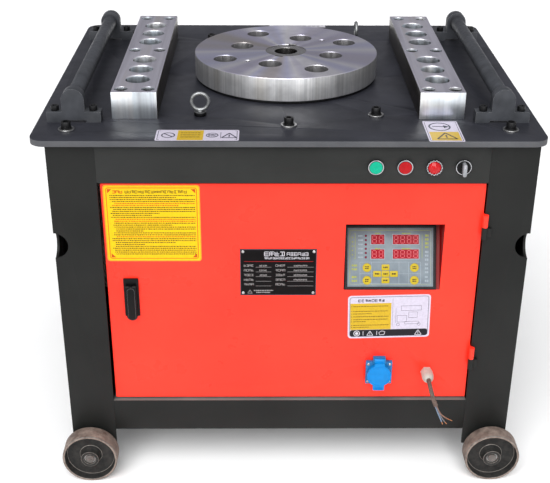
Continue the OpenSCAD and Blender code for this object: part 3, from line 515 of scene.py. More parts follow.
def ink(name, colour, rough=(0.3, 0.4), painted_glow=0.0):
    """Printing ink: a colour with a faint mottle. The last argument makes the ink emit faint painted light.
    """
    dark = tuple(int(v * 0.93) for v in colour)
    m = finish("ink_" + name, dark, colour, rough, grain=260)
    if painted_glow:
        bsdf = m.node_tree.nodes["Principled BSDF"]
        bsdf.inputs["Emission Color"].default_value = srgb(*colour)
        bsdf.inputs["Emission Strength"].default_value = painted_glow
    return m


INK_COLOURS = {
    "white": (196, 194, 202),
    "lilac": (196, 190, 206),
    "yellow": (224, 186, 6),
    "pale_yellow": (196, 162, 36),
    "lime": (150, 156, 74),
    "orange": (216, 104, 14),
    "pale_orange": (226, 150, 40),
    "red_orange": (190, 70, 10),
    "red": (150, 16, 18),
    "navy": (40, 42, 60),
    "dark": (22, 23, 30),
    "silver": (138, 134, 134),
    "key": (180, 158, 22),
    "film_white": (146, 156, 164),
    "brown": (56, 42, 12),
    "grey": (92, 90, 102),
}
INKS = {name: ink(name, colour) for name, colour in INK_COLOURS.items()}
# The display window, its digits and the panel's lights emit faint painted light.
INKS["display"] = ink("display", (146, 20, 34), (0.10, 0.18), 0.05)
INKS["digit"] = ink("digit", (206, 96, 104), (0.2, 0.3), 0.1)
INKS["magenta"] = ink("magenta", (132, 20, 56), (0.10, 0.18), 0.05)


# --- mesh helpers ---


def smooth_by_angle():
    """A geometry node group that shades smooth, except across edges sharper than 35 degrees."""
    tree = bpy.data.node_groups.new("smooth_by_angle", "GeometryNodeTree")
    tree.interface.new_socket("Geometry", in_out="INPUT", socket_type="NodeSocketGeometry")
    tree.interface.new_socket("Geometry", in_out="OUTPUT", socket_type="NodeSocketGeometry")
    start = tree.nodes.new("NodeGroupInput")
    end = tree.nodes.new("NodeGroupOutput")
    faces = tree.nodes.new("GeometryNodeSetShadeSmooth")
    edges = tree.nodes.new("GeometryNodeSetShadeSmooth")
    edges.domain = "EDGE"
    angle = tree.nodes.new("GeometryNodeInputMeshEdgeAngle")
    sharp = tree.nodes.new("FunctionNodeCompare")
    sharp.operation = "GREATER_THAN"
    sharp.inputs["B"].default_value = math.radians(35)
    edges.inputs["Shade Smooth"].default_value = False
    tree.links.new(start.outputs[0], faces.inputs["Geometry"])
    tree.links.new(faces.outputs["Geometry"], edges.inputs["Geometry"])
    tree.links.new(angle.outputs["Unsigned Angle"], sharp.inputs["A"])
    tree.links.new(sharp.outputs["Result"], edges.inputs["Selection"])
    tree.links.new(edges.outputs["Geometry"], end.inputs[0])
    return tree


SMOOTH = smooth_by_angle()


def soften(obj, width, edge_material, whole_faces=False):
    """Rounds an object's sharp edges by width, in mm, and smooths its shading.

    The rounds can have a finish of their own. whole_faces joins the triangles of flat faces first.
    """
    weld = obj.modifiers.new("weld", "WELD")
    weld.merge_threshold = 1e-6
    if width and whole_faces:
        flat = obj.modifiers.new("whole_faces", "DECIMATE")
        flat.decimate_type = "DISSOLVE"
        flat.angle_limit = math.radians(0.1)
    if width:
        bevel = obj.modifiers.new("bevel", "BEVEL")
        bevel.width = width * MM
        bevel.segments = 2
        bevel.limit_method = "ANGLE"
        bevel.angle_limit = math.radians(40)
        bevel.material = edge_material
        bevel.use_clamp_overlap = True
    shade = obj.modifiers.new("smooth", "NODES")
    shade.node_group = SMOOTH


def dress(node, material, width, whole_faces, edge=None):
    """Gives a carried-over CAD node its finish."""
    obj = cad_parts[node]
    obj.data.materials.clear()
    obj.data.materials.append(material)
    if edge:
        obj.data.materials.append(edge)
    soften(obj, width, 1 if edge else -1, whole_faces)


def piece(name, mesh, body, materials, width=0.0, replaces=(), edge_material=-1):
    """Turns a bmesh, in millimetres in the row frame, into a piece that rides on a body."""
    bmesh.ops.recalc_face_normals(mesh, faces=mesh.faces)
    bmesh.ops.scale(mesh, vec=(MM, MM, MM), verts=mesh.verts)
    data = bpy.data.meshes.new(name)
    mesh.to_mesh(data)
    mesh.free()
    obj = new_object(name, data)
    for m in materials:
        data.materials.append(m)
    soften(obj, width, edge_material)
    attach(obj, body)
    if replaces:
        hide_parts(*replaces)
    return obj


AXES = {
    "z": Matrix.Identity(4),
    "-y": Matrix.Rotation(math.pi / 2, 4, "X"),
    "y": Matrix.Rotation(-math.pi / 2, 4, "X"),
    "x": Matrix.Rotation(math.pi / 2, 4, "Y"),
}


def at(x, y, z, axis="z"):
    """A place in the row frame, in mm, whose own Z points along the given axis."""
    return Matrix.Translation((x, y, z)) @ AXES[axis]


def ring_radius(r, style, k, segments):
    """A round point, or one on a hexagon or a knurl."""
    if style == "hex":
        part = (k / segments * 360) % 60 - 30
        return r / math.cos(math.radians(part))
    if style == "knurl":
        return r * (1.0 if k % 2 else 0.965)
    if style == "flute":
        return r * (0.955 if k % 6 == 0 else 1.0)
    return r


def lathe(mesh, profile, where, material=0, segments=48):
    """Revolves (radius, height[, style]) points about the place's Z axis.

    Ends on the axis close the shape, else it is a ring.
    """
    rows = []
    for point in profile:
        r, h = point[0], point[1]
        style = point[2] if len(point) > 2 else "round"
        if r == 0:
            rows.append([mesh.verts.new(where @ Vector((0, 0, h)))])
            continue
        row = []
        for k in range(segments):
            a = TAU * k / segments
            rr = ring_radius(r, style, k, segments)
            row.append(mesh.verts.new(where @ Vector((rr * math.cos(a), rr * math.sin(a), h))))
        rows.append(row)
    closed = len(rows[0]) > 1
    pairs = list(zip(rows, rows[1:])) + ([(rows[-1], rows[0])] if closed else [])
    for a, b in pairs:
        for k in range(segments):
            n = (k + 1) % segments
            corners = [a[k % len(a)], a[n % len(a)], b[n % len(b)], b[k % len(b)]]
            corners = list(dict.fromkeys(corners))
            if len(corners) > 2:
                mesh.faces.new(corners).material_index = material


def prism(mesh, outline, low, high, where, material=0):
    """Extrudes a flat outline of (x, y) points between two heights of a place."""
    bottom = [mesh.verts.new(where @ Vector((x, y, low))) for x, y in outline]
    top = [mesh.verts.new(where @ Vector((x, y, high))) for x, y in outline]
    faces = [mesh.faces.new(bottom[::-1]), mesh.faces.new(top)]
    for k in range(len(outline)):
        n = (k + 1) % len(outline)
        faces.append(mesh.faces.new((bottom[k], bottom[n], top[n], top[k])))
    for f in faces:
        f.material_index = material


def circle_points(x, y, r, count=24, start=0.0, sweep=TAU):
    """Points on a circle, or on an arc with both of its ends."""
    last = count if sweep >= TAU else count - 1
    angles = [start + sweep * k / last for k in range(count)]
    return [(x + r * math.cos(a), y + r * math.sin(a)) for a in angles]


def rounded_rectangle(x0, y0, x1, y1, r, steps=5):
    corners = [(x1 - r, y1 - r, 0), (x0 + r, y1 - r, 1), (x0 + r, y0 + r, 2), (x1 - r, y0 + r, 3)]
    points = []
    for x, y, quarter in corners:
        points += circle_points(x, y, r, steps, quarter * math.pi / 2, math.pi / 2)
    return points


# --- printed labels ---

dice = random.Random(11)

# Heights of the layers over the face, and the depth that each goes into it
BASE, FIRST, SECOND, THIRD = 0.16, 0.24, 0.32, 0.40
UNDER = -0.05


class Print:
    """A label made as one mesh: a thin base, with each printed shape a little higher than what it lies on.

    The marks that stand for writing are dashes and made-up signs, and can't be read.
    """

    def __init__(self, where):
        self.mesh = bmesh.new()
        self.where = where
        self.inks = []

    def index(self, colour):
        if colour not in self.inks:
            self.inks.append(colour)
        return self.inks.index(colour)

    def shape(self, colour, outline, top=FIRST):
        prism(self.mesh, outline, UNDER, top, self.where, self.index(colour))

    def card(self, colour, x0, y0, x1, y1, r, top=BASE):
        self.shape(colour, rounded_rectangle(x0, y0, x1, y1, r), top)

    def bar(self, colour, x0, y0, x1, y1, top=FIRST):
        self.shape(colour, [(x0, y0), (x1, y0), (x1, y1), (x0, y1)], top)

    def line(self, colour, start, end, width, top=SECOND):
        a, b = Vector(start), Vector(end)
        side = (b - a).normalized().orthogonal() * width / 2
        self.shape(colour, [tuple(v) for v in (a - side, b - side, b + side, a + side)], top)

    def loop(self, colour, points, width, top=SECOND):
        for a, b in zip(points, points[1:] + points[:1]):
            self.line(colour, a, b, width, top)

    def border(self, colour, x0, y0, x1, y1, r, width, top=FIRST):
        self.loop(colour, rounded_rectangle(x0, y0, x1, y1, r, 4), width, top)

    def dot(self, colour, x, y, r, top=FIRST):
        self.shape(colour, circle_points(x, y, r, 24), top)

    def ring(self, colour, x, y, r, width, top=SECOND):
        profile = [(r - width, UNDER), (r, UNDER), (r, top), (r - width, top)]
        lathe(self.mesh, profile, self.where @ Matrix.Translation((x, y, 0)), self.index(colour), 32)

    def words(self, colour, x0, x1, y, height, top=SECOND, long=3.2, gap=0.8):
        """A row of dashes of uneven length, like a line of small print."""
        x = x0
        while x < x1 - 0.6:
            end = min(x1, x + long * dice.uniform(0.5, 1.3))
            self.bar(colour, x, y - height / 2 * dice.uniform(0.7, 1.1), end, y + height / 2, top)
            x = end + gap * dice.uniform(0.7, 1.5)

    def signs(self, colour, x0, x1, y, height, wide, gap, stroke, top=FIRST):
        """A row of made-up signs, each of a few strokes at random."""
        x = x0
        while x + wide < x1 + 0.1:
            low, high = y - height / 2, y + height / 2
            strokes = [
                ((x, low), (x, high)), ((x + wide, low), (x + wide, high)),
                ((x + wide / 2, low), (x + wide / 2, high)), ((x, low), (x + wide, low)),
                ((x, y), (x + wide, y)), ((x, high), (x + wide, high)),
            ]
            for start, end in dice.sample(strokes, 4):
                self.line(colour, start, end, stroke, top)
            x += wide + gap

    def warning(self, colour, x, y, size, top=SECOND):
        """A triangle with a mark in it."""
        h = size * 0.5
        self.loop(colour, [(x - size * 0.6, y - h), (x + size * 0.6, y - h), (x, y + h)], size * 0.11, top)
        self.bar(colour, x - size * 0.05, y - h * 0.35, x + size * 0.05, y + h * 0.35, top)
        self.dot(colour, x, y - h * 0.6, size * 0.06, top)

    def done(self, name, body):
        return piece(name, self.mesh, body, [INKS[c] for c in self.inks])


# --- cord, repeated from part.scad ---

CORD = [
    (303, -415, 256), (303, -417, 256), (303.1, -421.4, 255.7), (303.3, -425.8, 254.8),
    (303.7, -430, 253.4), (304.2, -434, 251.4), (304.8, -437.7, 249), (305.6, -441, 246),
    (306.6, -444, 242.7), (307.7, -446.4, 239), (308.9, -448.4, 235), (310.3, -449.8, 230.8),
    (311.9, -450.7, 226.4), (313.6, -451, 222), (314.8, -451, 219), (316, -451, 216),
]
CORD_RADIUS = 4.8
CORES = {
    "brown": [
        (317.41, -450.13, 216.56), (318.61, -450.13, 213.56), (321.5, -450, 206), (326, -450, 197),
        (333, -450, 188.5), (343, -450.5, 181.5), (354, -451, 176),
    ],
    "blue": [
        (314.59, -450.13, 215.44), (315.79, -450.13, 212.44), (319, -450.4, 204), (323.5, -450.8, 193),
        (328, -451, 182.5), (331.5, -451, 174), (334.5, -451, 167),
    ],
    "grey": [
        (316, -452.75, 216), (317.2, -452.75, 213), (320.5, -453, 205.5), (325.5, -453.4, 195),
        (331.5, -453.8, 184.5), (337, -454, 176.5), (342.5, -454, 170),
    ],
}
CORE_RADIUS = 1.3
CORE_COLOURS = {
    "blue": ((104, 124, 148), (128, 148, 172)),
    "brown": ((120, 88, 72), (150, 116, 100)),
    "grey": ((92, 92, 98), (120, 120, 126)),
}


def round_wire(name, points, radius, material):
    """A curve of one spline through points given in mm."""
    data = bpy.data.curves.new(name, "CURVE")
    data.dimensions = "3D"
    data.bevel_depth = radius * MM
    data.bevel_resolution = 4
    data.use_fill_caps = True
    data.resolution_u = 4
    spline = data.splines.new("BEZIER")
    spline.bezier_points.add(len(points) - 1)
    for knot, p in zip(spline.bezier_points, points):
        knot.co = Vector(p) * MM
        knot.handle_left_type = "AUTO"
        knot.handle_right_type = "AUTO"
    obj = new_object(name, data)
    data.materials.append(material)
    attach(obj, "door")
    return obj


def make_cord():
    """The cut-off power cord with its three stripped cores."""
    strand = finish("copper", (186, 118, 76), (226, 158, 112), (0.3, 0.45), 1.0, grain=600)
    for name, points in CORES.items():
        dark, light = CORE_COLOURS[name]
        cover = plastic("core_" + name, dark, light, (0.35, 0.5), 300)
        core = round_wire("core_" + name, points[:-1], CORE_RADIUS, cover)
        tip = [Vector(points[-2]), Vector(points[-2]).lerp(Vector(points[-1]), 0.5), Vector(points[-1])]
        round_wire("strands_" + name, tip, CORE_RADIUS * 0.62, strand)
    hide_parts("cord_cores")
    cord = round_wire("power_cord_jacket", CORD, CORD_RADIUS, cord_rubber)
    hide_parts("power_cord")


make_cord()


# --- carried-over CAD nodes ---

LEGS = ("leg_front_left", "leg_front_right", "leg_back_left", "leg_back_right")
WHEELS = ("wheel_front_left", "wheel_front_right", "wheel_back_left", "wheel_back_right")
BLOCKS = ("tooling_block_left", "tooling_block_right")
ROLLER_PARTS = ("roller_left", "roller_right", "roller_brackets")
SHEET_METAL = LEGS + ("door_panel", "front_top_rail", "front_bottom_rail", "table_plate")
for group, look, width, *edge in (
    (LEGS, frame_paint, 1.6),
    (("front_top_rail",), painted_light_rail_top, 0.8),
    (("side_panels", "back_panel"), frame_paint, 0.8),
    (("front_bottom_rail",), rail_paint, 1.0),
    (("base_pan",), inside_paint, 0.8),
    (("table_plate",), table_paint, 1.6),
    (("wheel_axles",), axle_steel, 0.8),
    (("axle_fasteners", "gearbox_bearings"), zinc_steel, 0.4),
    (WHEELS, wheel_iron, 0.8, wheel_edge),
    (("door_panel", "door_hinge_barrels"), door_paint, 1.4),
    (("frame_hinge_barrels",), frame_paint, 0.6),
    (("controller_tray",), painted_shade_tray, 0.4),
    (("lock_plate", "lock_lever"), lock_black, 1.0),
    (("lock_cam",), black_steel, 0.4),
    (("nameplate",), plate_black, 0.2),
    (("controller_housing", "contact_blocks"), black_plastic, 0.8),
    (("controller_panel",), panel_film, 0.2),
    (("socket_base",), blue_base, 1.0),
    (("socket_lid",), blue_plastic, 1.2),
    (("cable_gland",), gland_plastic, 0.5),
    (("green_button",), green_plastic, 0.6),
    (("red_button",), red_plastic, 0.6),
    (("lamp_lens",), lamp_plastic, 0.0),
    (("control_bezels",), chrome, 0.15),
    (BLOCKS, block_steel, 0.8),
    (("tooling_screws",), black_steel, 0.4),
    (("eye_bolts",), eye_steel, 0.4),
    (ROLLER_PARTS, roller_paint, 1.0, roller_edge_highlight),
    (("working_disc",), turned_disc, 0.6),
    (("main_shaft",), shaft_steel, 0.5),
    (("shaft_keys",), key_steel, 0.5),
    (("base_ring",), ring_paint_and_shade, 0.5),
    (("gearbox_housing", "gearbox_cover", "driven_pulley", "motor_pulley"), iron_grey, 0.8),
    (("worm_wheel",), bronze, 0.0),
    (("worm_shaft", "motor_rotor"), inner_steel, 0.0),
    (("drive_belts",), belt_rubber, 0.5),
    (("motor_body",), motor_paint, 0.0),
    (("electrical_box",), box_paint, 0.8),
):
    for node in group:
        dress(node, look, width, node in SHEET_METAL, *edge)


# --- what is printed on the door and the table ---

DOOR_FACE = -382.0
TABLE_TOP = 800.0
TABLE_FRONT = -411


def yellow_notice():
    w, h = 192, 170
    p = Print(at(-368, DOOR_FACE, 527, "-y"))
    p.card("pale_orange", 0, 0, w, h, 6)
    p.card("yellow", 2.2, 2.2, w - 2.2, h - 2.2, 5, FIRST)
    p.border("orange", 6.5, 6.5, w - 6.5, h - 6.5, 4, 1.7, SECOND)
    for x, run in ((9, 9), (w - 9, -9)):
        for y, rise in ((9, 9), (h - 9, -9)):
            p.shape("red_orange", [(x, y), (x + run, y), (x, y + rise)], SECOND)
    p.signs("red_orange", 19, 41, 155, 6, 5.4, 1.6, 1.3, SECOND)
    p.signs("brown", 44, 172, 155, 5.6, 4.8, 1.7, 1.0, SECOND)
    y = 147
    for row in range(31):
        start = (13, 17, 22, 19)[dice.randrange(4)]
        end = 182 if dice.random() < 0.62 else dice.uniform(60, 150)
        colour = "red_orange" if row in (4, 5, 12, 13, 21) else "brown"
        p.words(colour, start, end, y, 2.2, long=2.6, gap=0.9)
        y -= 4.35
    p.done("yellow_notice", "door")


def attention_notice():
    w, h = 173, 104
    p = Print(at(129, DOOR_FACE, 340.5, "-y") @ Matrix.Rotation(math.radians(1.5), 4, "Z"))
    p.card("lilac", 0, 0, w, h, 7)
    p.border("navy", 4.2, 4.2, w - 4.2, h - 4.2, 5, 0.9)
    p.signs("navy", 22, 78, 91.5, 5.6, 4.6, 2.4, 1.3)
    p.bar("pale_yellow", 5, 21, 91, 85)
    for y, end in ((78, 84), (66, 84), (60, 50), (53, 86), (46, 84), (41, 38), (32, 86), (27, 44)):
        p.words("brown", 11, end, y, 1.2, long=5, gap=0.6)
        p.dot("navy", 8, y, 0.9, SECOND)
    p.card("dark", 4.8, 4.8, w - 4.8, 20.5, 4.5, SECOND)
    p.ring("white", 19, 12, 7, 1.6, THIRD)
    p.dot("white", 19, 12, 3.4, THIRD)
    p.warning("white", 47, 12, 11, THIRD)
    p.warning("white", 149, 12, 12, THIRD)
    for x in (32, 61):
        p.bar("white", x, 7, x + 1.2, 17, THIRD)
    p.loop("white", [(68, 7), (77, 8), (79, 15), (72, 17), (66, 13)], 1.2, THIRD)
    for x0, y0, x1, y1 in ((104, 38, 124, 54), (112, 66, 154, 77), (128, 48, 146, 62), (120, 33, 150, 39)):
        p.loop("grey", [(x0, y0), (x1, y0), (x1, y1), (x0, y1)], 0.6)
    for x in (106, 150):
        p.ring("grey", x, 32, 3.6, 0.7)
    p.line("grey", (94, 26), (94, 96), 0.5)
    p.line("grey", (101, 72), (101, 36), 0.6)
    p.done("attention_notice", "door")


PLATE_X, PLATE_Z = -98, 447
PLATE_FACE = DOOR_FACE - 1


def nameplate_print():
    w, h = 157, 108
    p = Print(at(PLATE_X, PLATE_FACE, PLATE_Z, "-y"))
    p.border("grey", 0.9, 0.9, w - 0.9, h - 0.9, 1.5, 0.8, BASE)
    p.signs("white", 50, 92, 97, 9, 8.5, 2.2, 1.5)
    p.signs("white", 96, 146, 96.5, 7, 6, 1.4, 1.1)
    p.signs("white", 50, 145, 87, 4, 3.2, 1.0, 0.7)
    p.bar("red", 8, 79, 150, 80)
    for x0, x1, v0, v1 in ((8, 29, 32, 64), (73, 94, 97, 151)):
        for row, y in enumerate((70, 59, 48, 37, 26)):
            p.signs("silver", x0, x1, y, 4.4, 4.2, 0.9, 0.8)
            p.bar("silver", v0, y - 4.0, v1, y - 3.4)
            if row < 4 - (x0 < 10):
                p.signs("silver", v0 + (v1 - v0) * 0.25, v1 - (v1 - v0) * 0.2, y - 0.2, 3.0, 2.2, 0.9, 0.7)
    p.warning("silver", 20, 9, 8, FIRST)
    p.words("silver", 28, 68, 11.5, 2.6, FIRST, long=3.2, gap=0.6)
    p.words("silver", 33, 62, 7, 2.6, FIRST, long=3.2, gap=0.6)
    p.done("nameplate_print", "door")
    rivets = bmesh.new()
    for x in (6, w - 6):
        for y in (6, h - 6):
            place = at(PLATE_X + x, PLATE_FACE, PLATE_Z + y, "-y")
            lathe(rivets, [(0, -0.1), (3.1, -0.1), (3.1, 0.5), (2.2, 1.3), (0, 1.6)], place, 0, 24)
    piece("nameplate_rivets", rivets, "door", [zinc_steel])


def table_labels():
    p = Print(at(-258, TABLE_FRONT + 4, TABLE_TOP))
    w, h = 161, 57
    p.card("lilac", 0, 0, w, h, 4)
    for x, x0, x1 in ((4, 4, 8), (w - 4, w - 8, w - 4)):
        p.bar("navy", x - 0.6, 5, x + 0.6, h - 5)
        for y in (4.4, h - 5.8):
            p.bar("navy", x0, y, x1, y + 1.4)
    p.ring("navy", 24, h / 2, 13.5, 2.4)
    p.line("navy", (15, h / 2 + 9), (33, h / 2 - 9), 2.4)
    p.bar("pale_yellow", 42, 2.5, 92, h - 2.5)
    for y in (41, 30, 19):
        p.words("brown", 48, 86, y, 2.4, long=6, gap=0.9)
    p.ring("navy", 109, h / 2, 12, 1.8)
    p.words("navy", 101, 117, h / 2 + 3, 4, long=6)
    p.words("navy", 101, 117, h / 2 - 4, 4, long=6)
    p.bar("navy", 125, 12, 126, h - 12)
    p.warning("navy", 142, h / 2 - 1, 24)
    p.done("table_label_left", "frame")

    p = Print(at(267, TABLE_FRONT, TABLE_TOP))
    w, h = 69, 111
    p.card("lilac", 0, 0, w, h, 4)
    p.border("navy", 3.2, 3.2, w - 3.2, h - 3.2, 3, 1.0)
    p.bar("pale_yellow", 6, 6, w - 6, 52)
    p.warning("brown", w / 2 + 2, 30, 32)
    p.ring("navy", w / 2 - 4, 80, 22, 3.2)
    p.line("navy", (w / 2 - 18, 82), (w / 2 + 8, 80), 3.0)
    p.shape("navy", [(w / 2 + 4, 72), (w / 2 + 15, 80), (w / 2 + 4, 88)], SECOND)
    p.done("table_label_right", "frame")

    p = Print(at(-35, 390, TABLE_TOP))
    p.card("white", 0, 0, 145, 18, 2)
    p.words("grey", 10, 130, 9, 5, long=9, gap=2)
    p.done("table_label_back", "frame")


# --- the controller's front ---

# The overlay's lower edge, and how steeply it rises; the print starts just inside the overlay
PANEL_FOOT = (213, -384, 461)
PANEL_RISE = math.radians(65)
PANEL_SUNK = Matrix.Translation((0, 0, -0.5))
PANEL = Matrix.Translation(PANEL_FOOT) @ Matrix.Rotation(PANEL_RISE, 4, "X") @ PANEL_SUNK
LIGHTS = [(-51, 111.5 - 8.9 * k) for k in range(6)]
CAPTION_GAP = 16


def digits(p, x0, y0, x1, y1, count):
    """A red window with a row of seven-segment digits."""
    p.card("film_white", x0 - 1.3, y0 - 1.3, x1 + 1.3, y1 + 1.3, 1, FIRST)
    p.bar("display", x0, y0, x1, y1, SECOND)
    step = (x1 - x0) / count
    for k in range(count):
        left, right = x0 + step * (k + 0.22), x0 + step * (k + 0.78)
        low, high = y0 + 2.5, y1 - 2.5
        middle = (low + high) / 2
        for y in (low, middle, high):
            p.line("digit", (left + 1, y), (right - 1, y), 1.1, THIRD)
        for x in (left, right):
            p.line("digit", (x, low + 0.8), (x, middle - 0.8), 1.1, THIRD)
            p.line("digit", (x, middle + 0.8), (x, high - 0.8), 1.1, THIRD)


def controller_print():
    p = Print(PANEL)
    p.border("lime", -84, 11, 84, 123, 2, 0.8, BASE)
    p.bar("film_white", -84, 11, 84, 11.7, FIRST)
    # A thin white strip along the overlay's right edge: a painted highlight.
    p.bar("film_white", 83.3, 12, 84, 122, FIRST)
    for y in (116.5, 84.5):
        p.words("lime", -32, -20, y, 2.6, long=3.4)
        p.words("lime", 24, 42, y, 2.6, long=3.4)
    for low, high in ((94, 114), (64, 83.5)):
        digits(p, -40, low, -12.5, high, 2)
        digits(p, 5, low, 59, high, 4)
    for x, y in LIGHTS:
        p.words("film_white", x - CAPTION_GAP, x - 6, y, 3.2, long=3.0, gap=0.5)
        p.ring("dark", x, y, 2.4, 0.7)
    p.bar("lime", -73.2, 64, -72.4, 116)
    for y in (64, 90, 116):
        p.bar("lime", -76, y - 0.4, -72.4, y + 0.4)
    for y in (108, 99, 90, 81, 72):
        p.words("lime", -80, -77, y, 3.0, long=3)
    p.border("film_white", -63, 12, 63, 57, 1, 0.8)
    p.bar("film_white", -63, 32.6, 63, 33.3)
    for x in (-39, 18, 38):
        p.bar("film_white", x - 0.4, 12, x + 0.4, 57)
    for colour, rows in (("lime", (112, 104, 96, 88)), ("film_white", (78, 70, 62, 52, 44, 36, 26, 18))):
        for y in rows:
            p.words(colour, 72, 79, y, 4.6, long=3.6, gap=0.7)
    p.bar("lime", 65.5, 66, 66.3, 114)
    for y in (50, 42, 26, 18):
        p.words("lime", -80, -69, y, 4.2, long=3.6, gap=0.9)
    p.done("controller_print", "door")


ROUND_KEYS_X = (-48.5, 50)
ROUND_KEYS_Y = (45.5, 19)
CROSS_KEYS = [(-10, 32.5), (-10, 46), (-10, 19), (-27.5, 32.5), (7.5, 32.5)]


def controller_keys():
    keys = bmesh.new()
    for x in ROUND_KEYS_X:
        for y in ROUND_KEYS_Y:
            dome = [(0, -0.1), (9, -0.1), (9.2, 0.3), (8.4, 0.9), (0, 1.1)]
            lathe(keys, dome, PANEL @ Matrix.Translation((x, y, 0)), 0, 32)
    for x, y in CROSS_KEYS:
        prism(keys, rounded_rectangle(x - 8.2, y - 6.2, x + 8.2, y + 6.2, 1.6), -0.1, 0.9, PANEL, 0)
    piece("controller_keys", keys, "door", [INKS["key"]], 0.3)
    lights = bmesh.new()
    for x, y in LIGHTS:
        dome = [(0, -0.1), (1.8, -0.1), (1.8, 0.4), (1.1, 1.0), (0, 1.2)]
        lathe(lights, dome, PANEL @ Matrix.Translation((x, y, 0)), 0, 16)
    piece("controller_lights", lights, "door", [INKS["magenta"]])
    p = Print(PANEL @ Matrix.Translation((0, 0, 0.85)))
    for x in ROUND_KEYS_X:
        for y in ROUND_KEYS_Y:
            p.words("brown", x - 4, x + 4, y + 1.8, 2.4, FIRST, 3, 0.6)
            p.words("brown", x - 4, x + 4, y - 1.8, 2.4, FIRST, 3, 0.6)
    for x, y in CROSS_KEYS:
        p.words("brown", x - 4.5, x + 4.5, y, 3.2, FIRST, 3, 0.6)
    p.done("controller_key_marks", "door")


yellow_notice()
attention_notice()
nameplate_print()
table_labels()
controller_print()
controller_keys()


# --- small parts that the CAD model has in a plainer shape ---

CORNER_SCREWS = [(x, y) for x in (-435, 435) for y in (-348, 348)]
SCREWS = CORNER_SCREWS + [(0, -324), (0, 324), (178, -265), (-178, 265)]


def table_screw_set():
    """Socket head screws with knurled heads, each on a split spring washer and a wide flat washer."""
    mesh = bmesh.new()
    for x, y in SCREWS:
        washer = [(6.3, 0), (15.6, 0), (16, 0.4), (16, 2.5), (15.5, 3), (6.3, 3)]
        lathe(mesh, washer, at(x, y, TABLE_TOP), 1)
        lathe(mesh, [(6.3, 3), (10.6, 3), (10.6, 5.5), (6.3, 5.5)], at(x, y, TABLE_TOP), 0)
        head = [
            (0, 5.4), (9.0, 5.4), (9.3, 5.8, "knurl"), (9.3, 16.0, "knurl"), (8.5, 17),
            (5.2, 17, "hex"), (5.2, 10, "hex"), (0, 10),
        ]
        lathe(mesh, head, at(x, y, TABLE_TOP), 0, 96)
    steels = [black_steel, zinc_steel]
    piece("table_screw_set", mesh, "frame", steels, replaces=["table_screws"])


ARCH = [math.pi * k / 12 for k in range(13)]
CONTROLS = (169, 226, 283, 340)
CONTROL_Z = 740
BEZEL_FRONT = -396.5
LAMP_TEETH = 16
LEVER_FOOT = (-323.5, -394.5, 393)
SOCKET_X, SOCKET_Z = 198.5, 258.5
SOCKET_FACE, LID_FACE = -391, -401.5
GLAND_X, _, GLAND_Z = CORD[0]


def control_details():
    """Seals round the buttons and the lamp, the lamp's toothed ring, and the selector with its handle."""
    seals = bmesh.new()
    for x in CONTROLS[:3]:
        ring = [(12.55, -0.5), (13.5, -0.5), (13.5, 0.18), (12.55, 0.18)]
        lathe(seals, ring, at(x, BEZEL_FRONT, CONTROL_Z, "-y"), 0, 64)
    piece("button_seals", seals, "frame", [black_plastic])
    teeth = bmesh.new()
    tooth = rounded_rectangle(-1.7, 13.6, 1.7, 15.5, 0.4, 3)
    where = at(CONTROLS[2], BEZEL_FRONT, CONTROL_Z, "-y")
    for k in range(LAMP_TEETH):
        prism(teeth, tooth, -3, 2.6, where @ Matrix.Rotation(TAU * k / LAMP_TEETH, 4, "Z"))
    piece("lamp_ring_teeth", teeth, "frame", [chrome], 0.2)
    disc = bmesh.new()
    where = at(CONTROLS[3], BEZEL_FRONT, CONTROL_Z, "-y")
    rim = [(0, -4), (12.4, -4), (12.4, 0.2), (13.6, 0.25), (13.6, 1.2), (12.8, 2), (0, 2)]
    lathe(disc, rim, where, 0, 64)
    piece("selector_disc", disc, "selector", [lock_black], replaces=["selector_knob"])
    handle = bmesh.new()
    prism(handle, rounded_rectangle(-3.6, -13.4, 3.6, 12.6, 3.2, 5), 1.6, 16, where, 0)
    prism(handle, rounded_rectangle(-0.7, 4, 0.7, 12, 0.5, 3), 15.8, 16.9, where, 1)
    piece("selector_handle", handle, "selector", [knob_plastic, INKS["white"]], 0.8)


def lever_face():
    """The lever's raised middle, with an arched top; its rounded edges carry a painted highlight."""
    mesh = bmesh.new()
    foot = [(-8, 5), (-5, 2.4), (0, 1.4), (5, 2.4), (8, 5)]
    arch = [(8 * math.cos(a), 69 + 8 * math.sin(a)) for a in ARCH]
    prism(mesh, foot + arch, -0.3, 1.4, at(*LEVER_FOOT, "-y"))
    piece("lever_face", mesh, "lever", [lock_black, painted_edge_highlight], 0.7, edge_material=1)


def socket_details():
    """The panel socket's four screws, and the grip and the raised ring of its lid."""
    screws = bmesh.new()
    head = [(0, -0.2), (3.2, -0.2), (3.2, 0.6), (2.2, 1.5), (1.6, 1.5, "hex"), (1.6, 0.6, "hex"), (0, 0.6)]
    for sx in (-1, 1):
        for sz in (-1, 1):
            place = at(SOCKET_X + sx * 23, SOCKET_FACE, SOCKET_Z + sz * 22, "-y")
            lathe(screws, head, place, 0, 24)
    piece("socket_screws", screws, "door", [zinc_steel])
    ribs = bmesh.new()
    face = at(SOCKET_X, LID_FACE, SOCKET_Z - 2, "-y")
    for y in (-35, -32.5, -30):
        prism(ribs, rounded_rectangle(-8.5, y - 0.6, 8.5, y + 0.6, 0.4, 3), -0.2, 0.9, face)
    lathe(ribs, [(22.3, -0.2), (23.6, -0.2), (23.3, 0.6), (22.6, 0.6)], face, 0, 64)
    piece("socket_lid_ribs", ribs, "lid", [blue_plastic])


